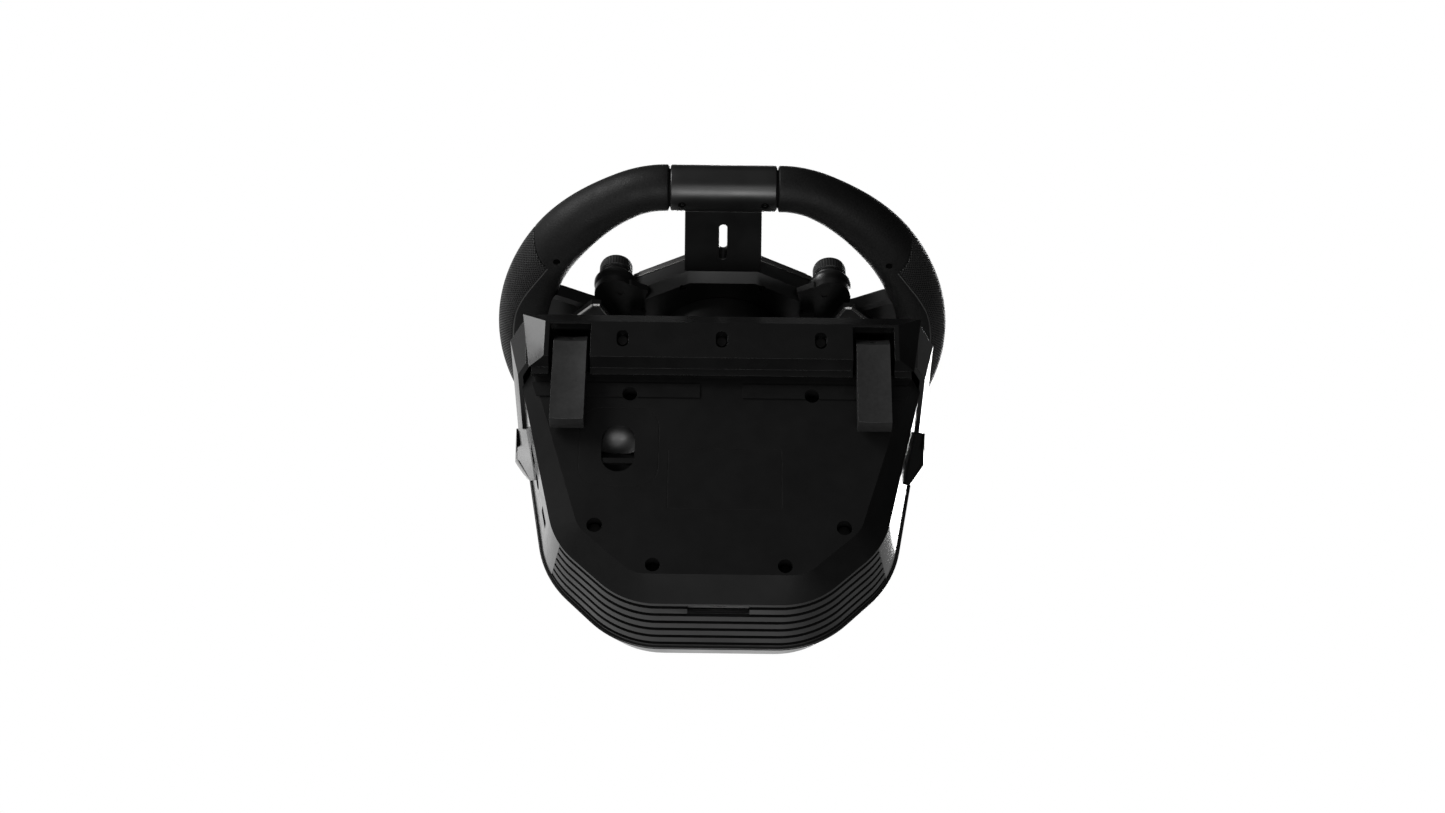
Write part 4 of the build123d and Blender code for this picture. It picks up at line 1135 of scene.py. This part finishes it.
# name, place, target, size and power in watts
LIGHTS = [
    ("left_soft", (-1.5, 0.15, -0.35), (0, 0, 0.05), (0.9, 1.2), 3),
    ("left_low", (-1.15, -0.75, -0.65), (-0.1, 0, 0), (0.7, 0.7), 19),
    ("front_soft", (0.4, -1.25, 2.1), (0, 0, 0.08), (1.5, 1.5), 60),
    ("rear_soft", (-0.1, 1.35, -1.0), (0, 0.05, 0.05), (1.6, 0.5), 18),
    ("under_rear", (0.1, 0.95, -1.75), (0, 0.05, 0.05), (1.4, 0.5), 5),
]


def stage_floor():
    """Wide pale floor far under the part. It is seen, but throws no light back up."""
    shader = Shader("floor_paint", grey(0.85), 0.9, specular=0.1)
    shader.bump(shader.noise(40.0, 2.0), 0.1)
    corners = [(x * FLOOR_HALF, y * FLOOR_HALF, FLOOR_Z) for x, y in ((-1, -1), (1, -1), (1, 1), (-1, 1))]
    obj = mesh_object("floor", corners, [(0, 1, 2, 3)], shader.material)
    obj.visible_diffuse = False
    obj.visible_glossy = False


def soft_light(name, position, target, size, power):
    """Large soft rectangular light, aimed at a point."""
    data = bpy.data.lights.new(name, "AREA")
    data.shape = "RECTANGLE"
    data.size, data.size_y = size
    data.energy = power
    obj = bpy.data.objects.new(name, data)
    obj.location = position
    obj.rotation_mode = "QUATERNION"
    obj.rotation_quaternion = (Vector(target) - Vector(position)).to_track_quat("-Z", "Y")
    bpy.context.scene.collection.objects.link(obj)


def sky_brightness(tree):
    """White above, dim towards the horizon, a little light from below, and darker on the right."""
    def ranged(value, source, result):
        step = tree.nodes.new("ShaderNodeMapRange")
        step.inputs["From Min"].default_value = source[0]
        step.inputs["From Max"].default_value = source[1]
        step.inputs["To Min"].default_value = result[0]
        step.inputs["To Max"].default_value = result[1]
        tree.links.new(value, step.inputs["Value"])
        return step.outputs["Result"]

    def combined(operation, first, second):
        step = tree.nodes.new("ShaderNodeMath")
        step.operation = operation
        tree.links.new(first, step.inputs[0])
        tree.links.new(second, step.inputs[1])
        return step.outputs[0]

    direction = tree.nodes.new("ShaderNodeTexCoord").outputs["Generated"]
    split = tree.nodes.new("ShaderNodeSeparateXYZ")
    tree.links.new(direction, split.inputs["Vector"])
    above = ranged(split.outputs["Z"], SKY_RISE, (HORIZON, SKY))
    under = ranged(split.outputs["Z"], BELOW_RISE, (0.0, BELOW))
    to_right = ranged(split.outputs["X"], RIGHT_FADE, (1.0, RIGHT_SHARE))
    return combined("MULTIPLY", combined("ADD", above, under), to_right)


def studio():
    """White surroundings that light the object unevenly but are seen as plain white, and soft lights."""
    scene = bpy.context.scene
    scene.view_settings.view_transform = "Standard"
    world = bpy.data.worlds.new("studio")
    scene.world = world
    world.use_nodes = True
    tree = world.node_tree
    background = tree.nodes["Background"]
    seen = tree.nodes.new("ShaderNodeLightPath")
    pick = tree.nodes.new("ShaderNodeMix")
    tree.links.new(seen.outputs["Is Camera Ray"], pick.inputs[0])
    tree.links.new(sky_brightness(tree), pick.inputs[2])
    pick.inputs[3].default_value = SKY
    tree.links.new(pick.outputs[0], background.inputs["Strength"])
    background.inputs["Color"].default_value = (1, 1, 1, 1)
    for light in LIGHTS:
        soft_light(*light)


CAMERA_AT = Vector((0.000838, 0.52315, -0.97455))
CAMERA_TILT = radians(62.5)
CAMERA_ROLL = radians(0.72)


def camera():
    """View from below and behind, with the driver's side at the top of the picture."""
    data = bpy.data.cameras.new("camera")
    data.lens = 50.0
    data.sensor_width = 36.0
    obj = bpy.data.objects.new("camera", data)
    ahead = Vector((0, -cos(CAMERA_TILT), sin(CAMERA_TILT)))
    level = Vector((0, -sin(CAMERA_TILT), -cos(CAMERA_TILT)))
    right = cos(CAMERA_ROLL) * X + sin(CAMERA_ROLL) * level
    top = -sin(CAMERA_ROLL) * X + cos(CAMERA_ROLL) * level
    turn = Matrix((right, top, -ahead)).transposed()
    obj.matrix_world = Matrix.Translation(CAMERA_AT) @ turn.to_4x4()
    bpy.context.scene.collection.objects.link(obj)
    bpy.context.scene.camera = obj


stage_floor()
studio()
camera()
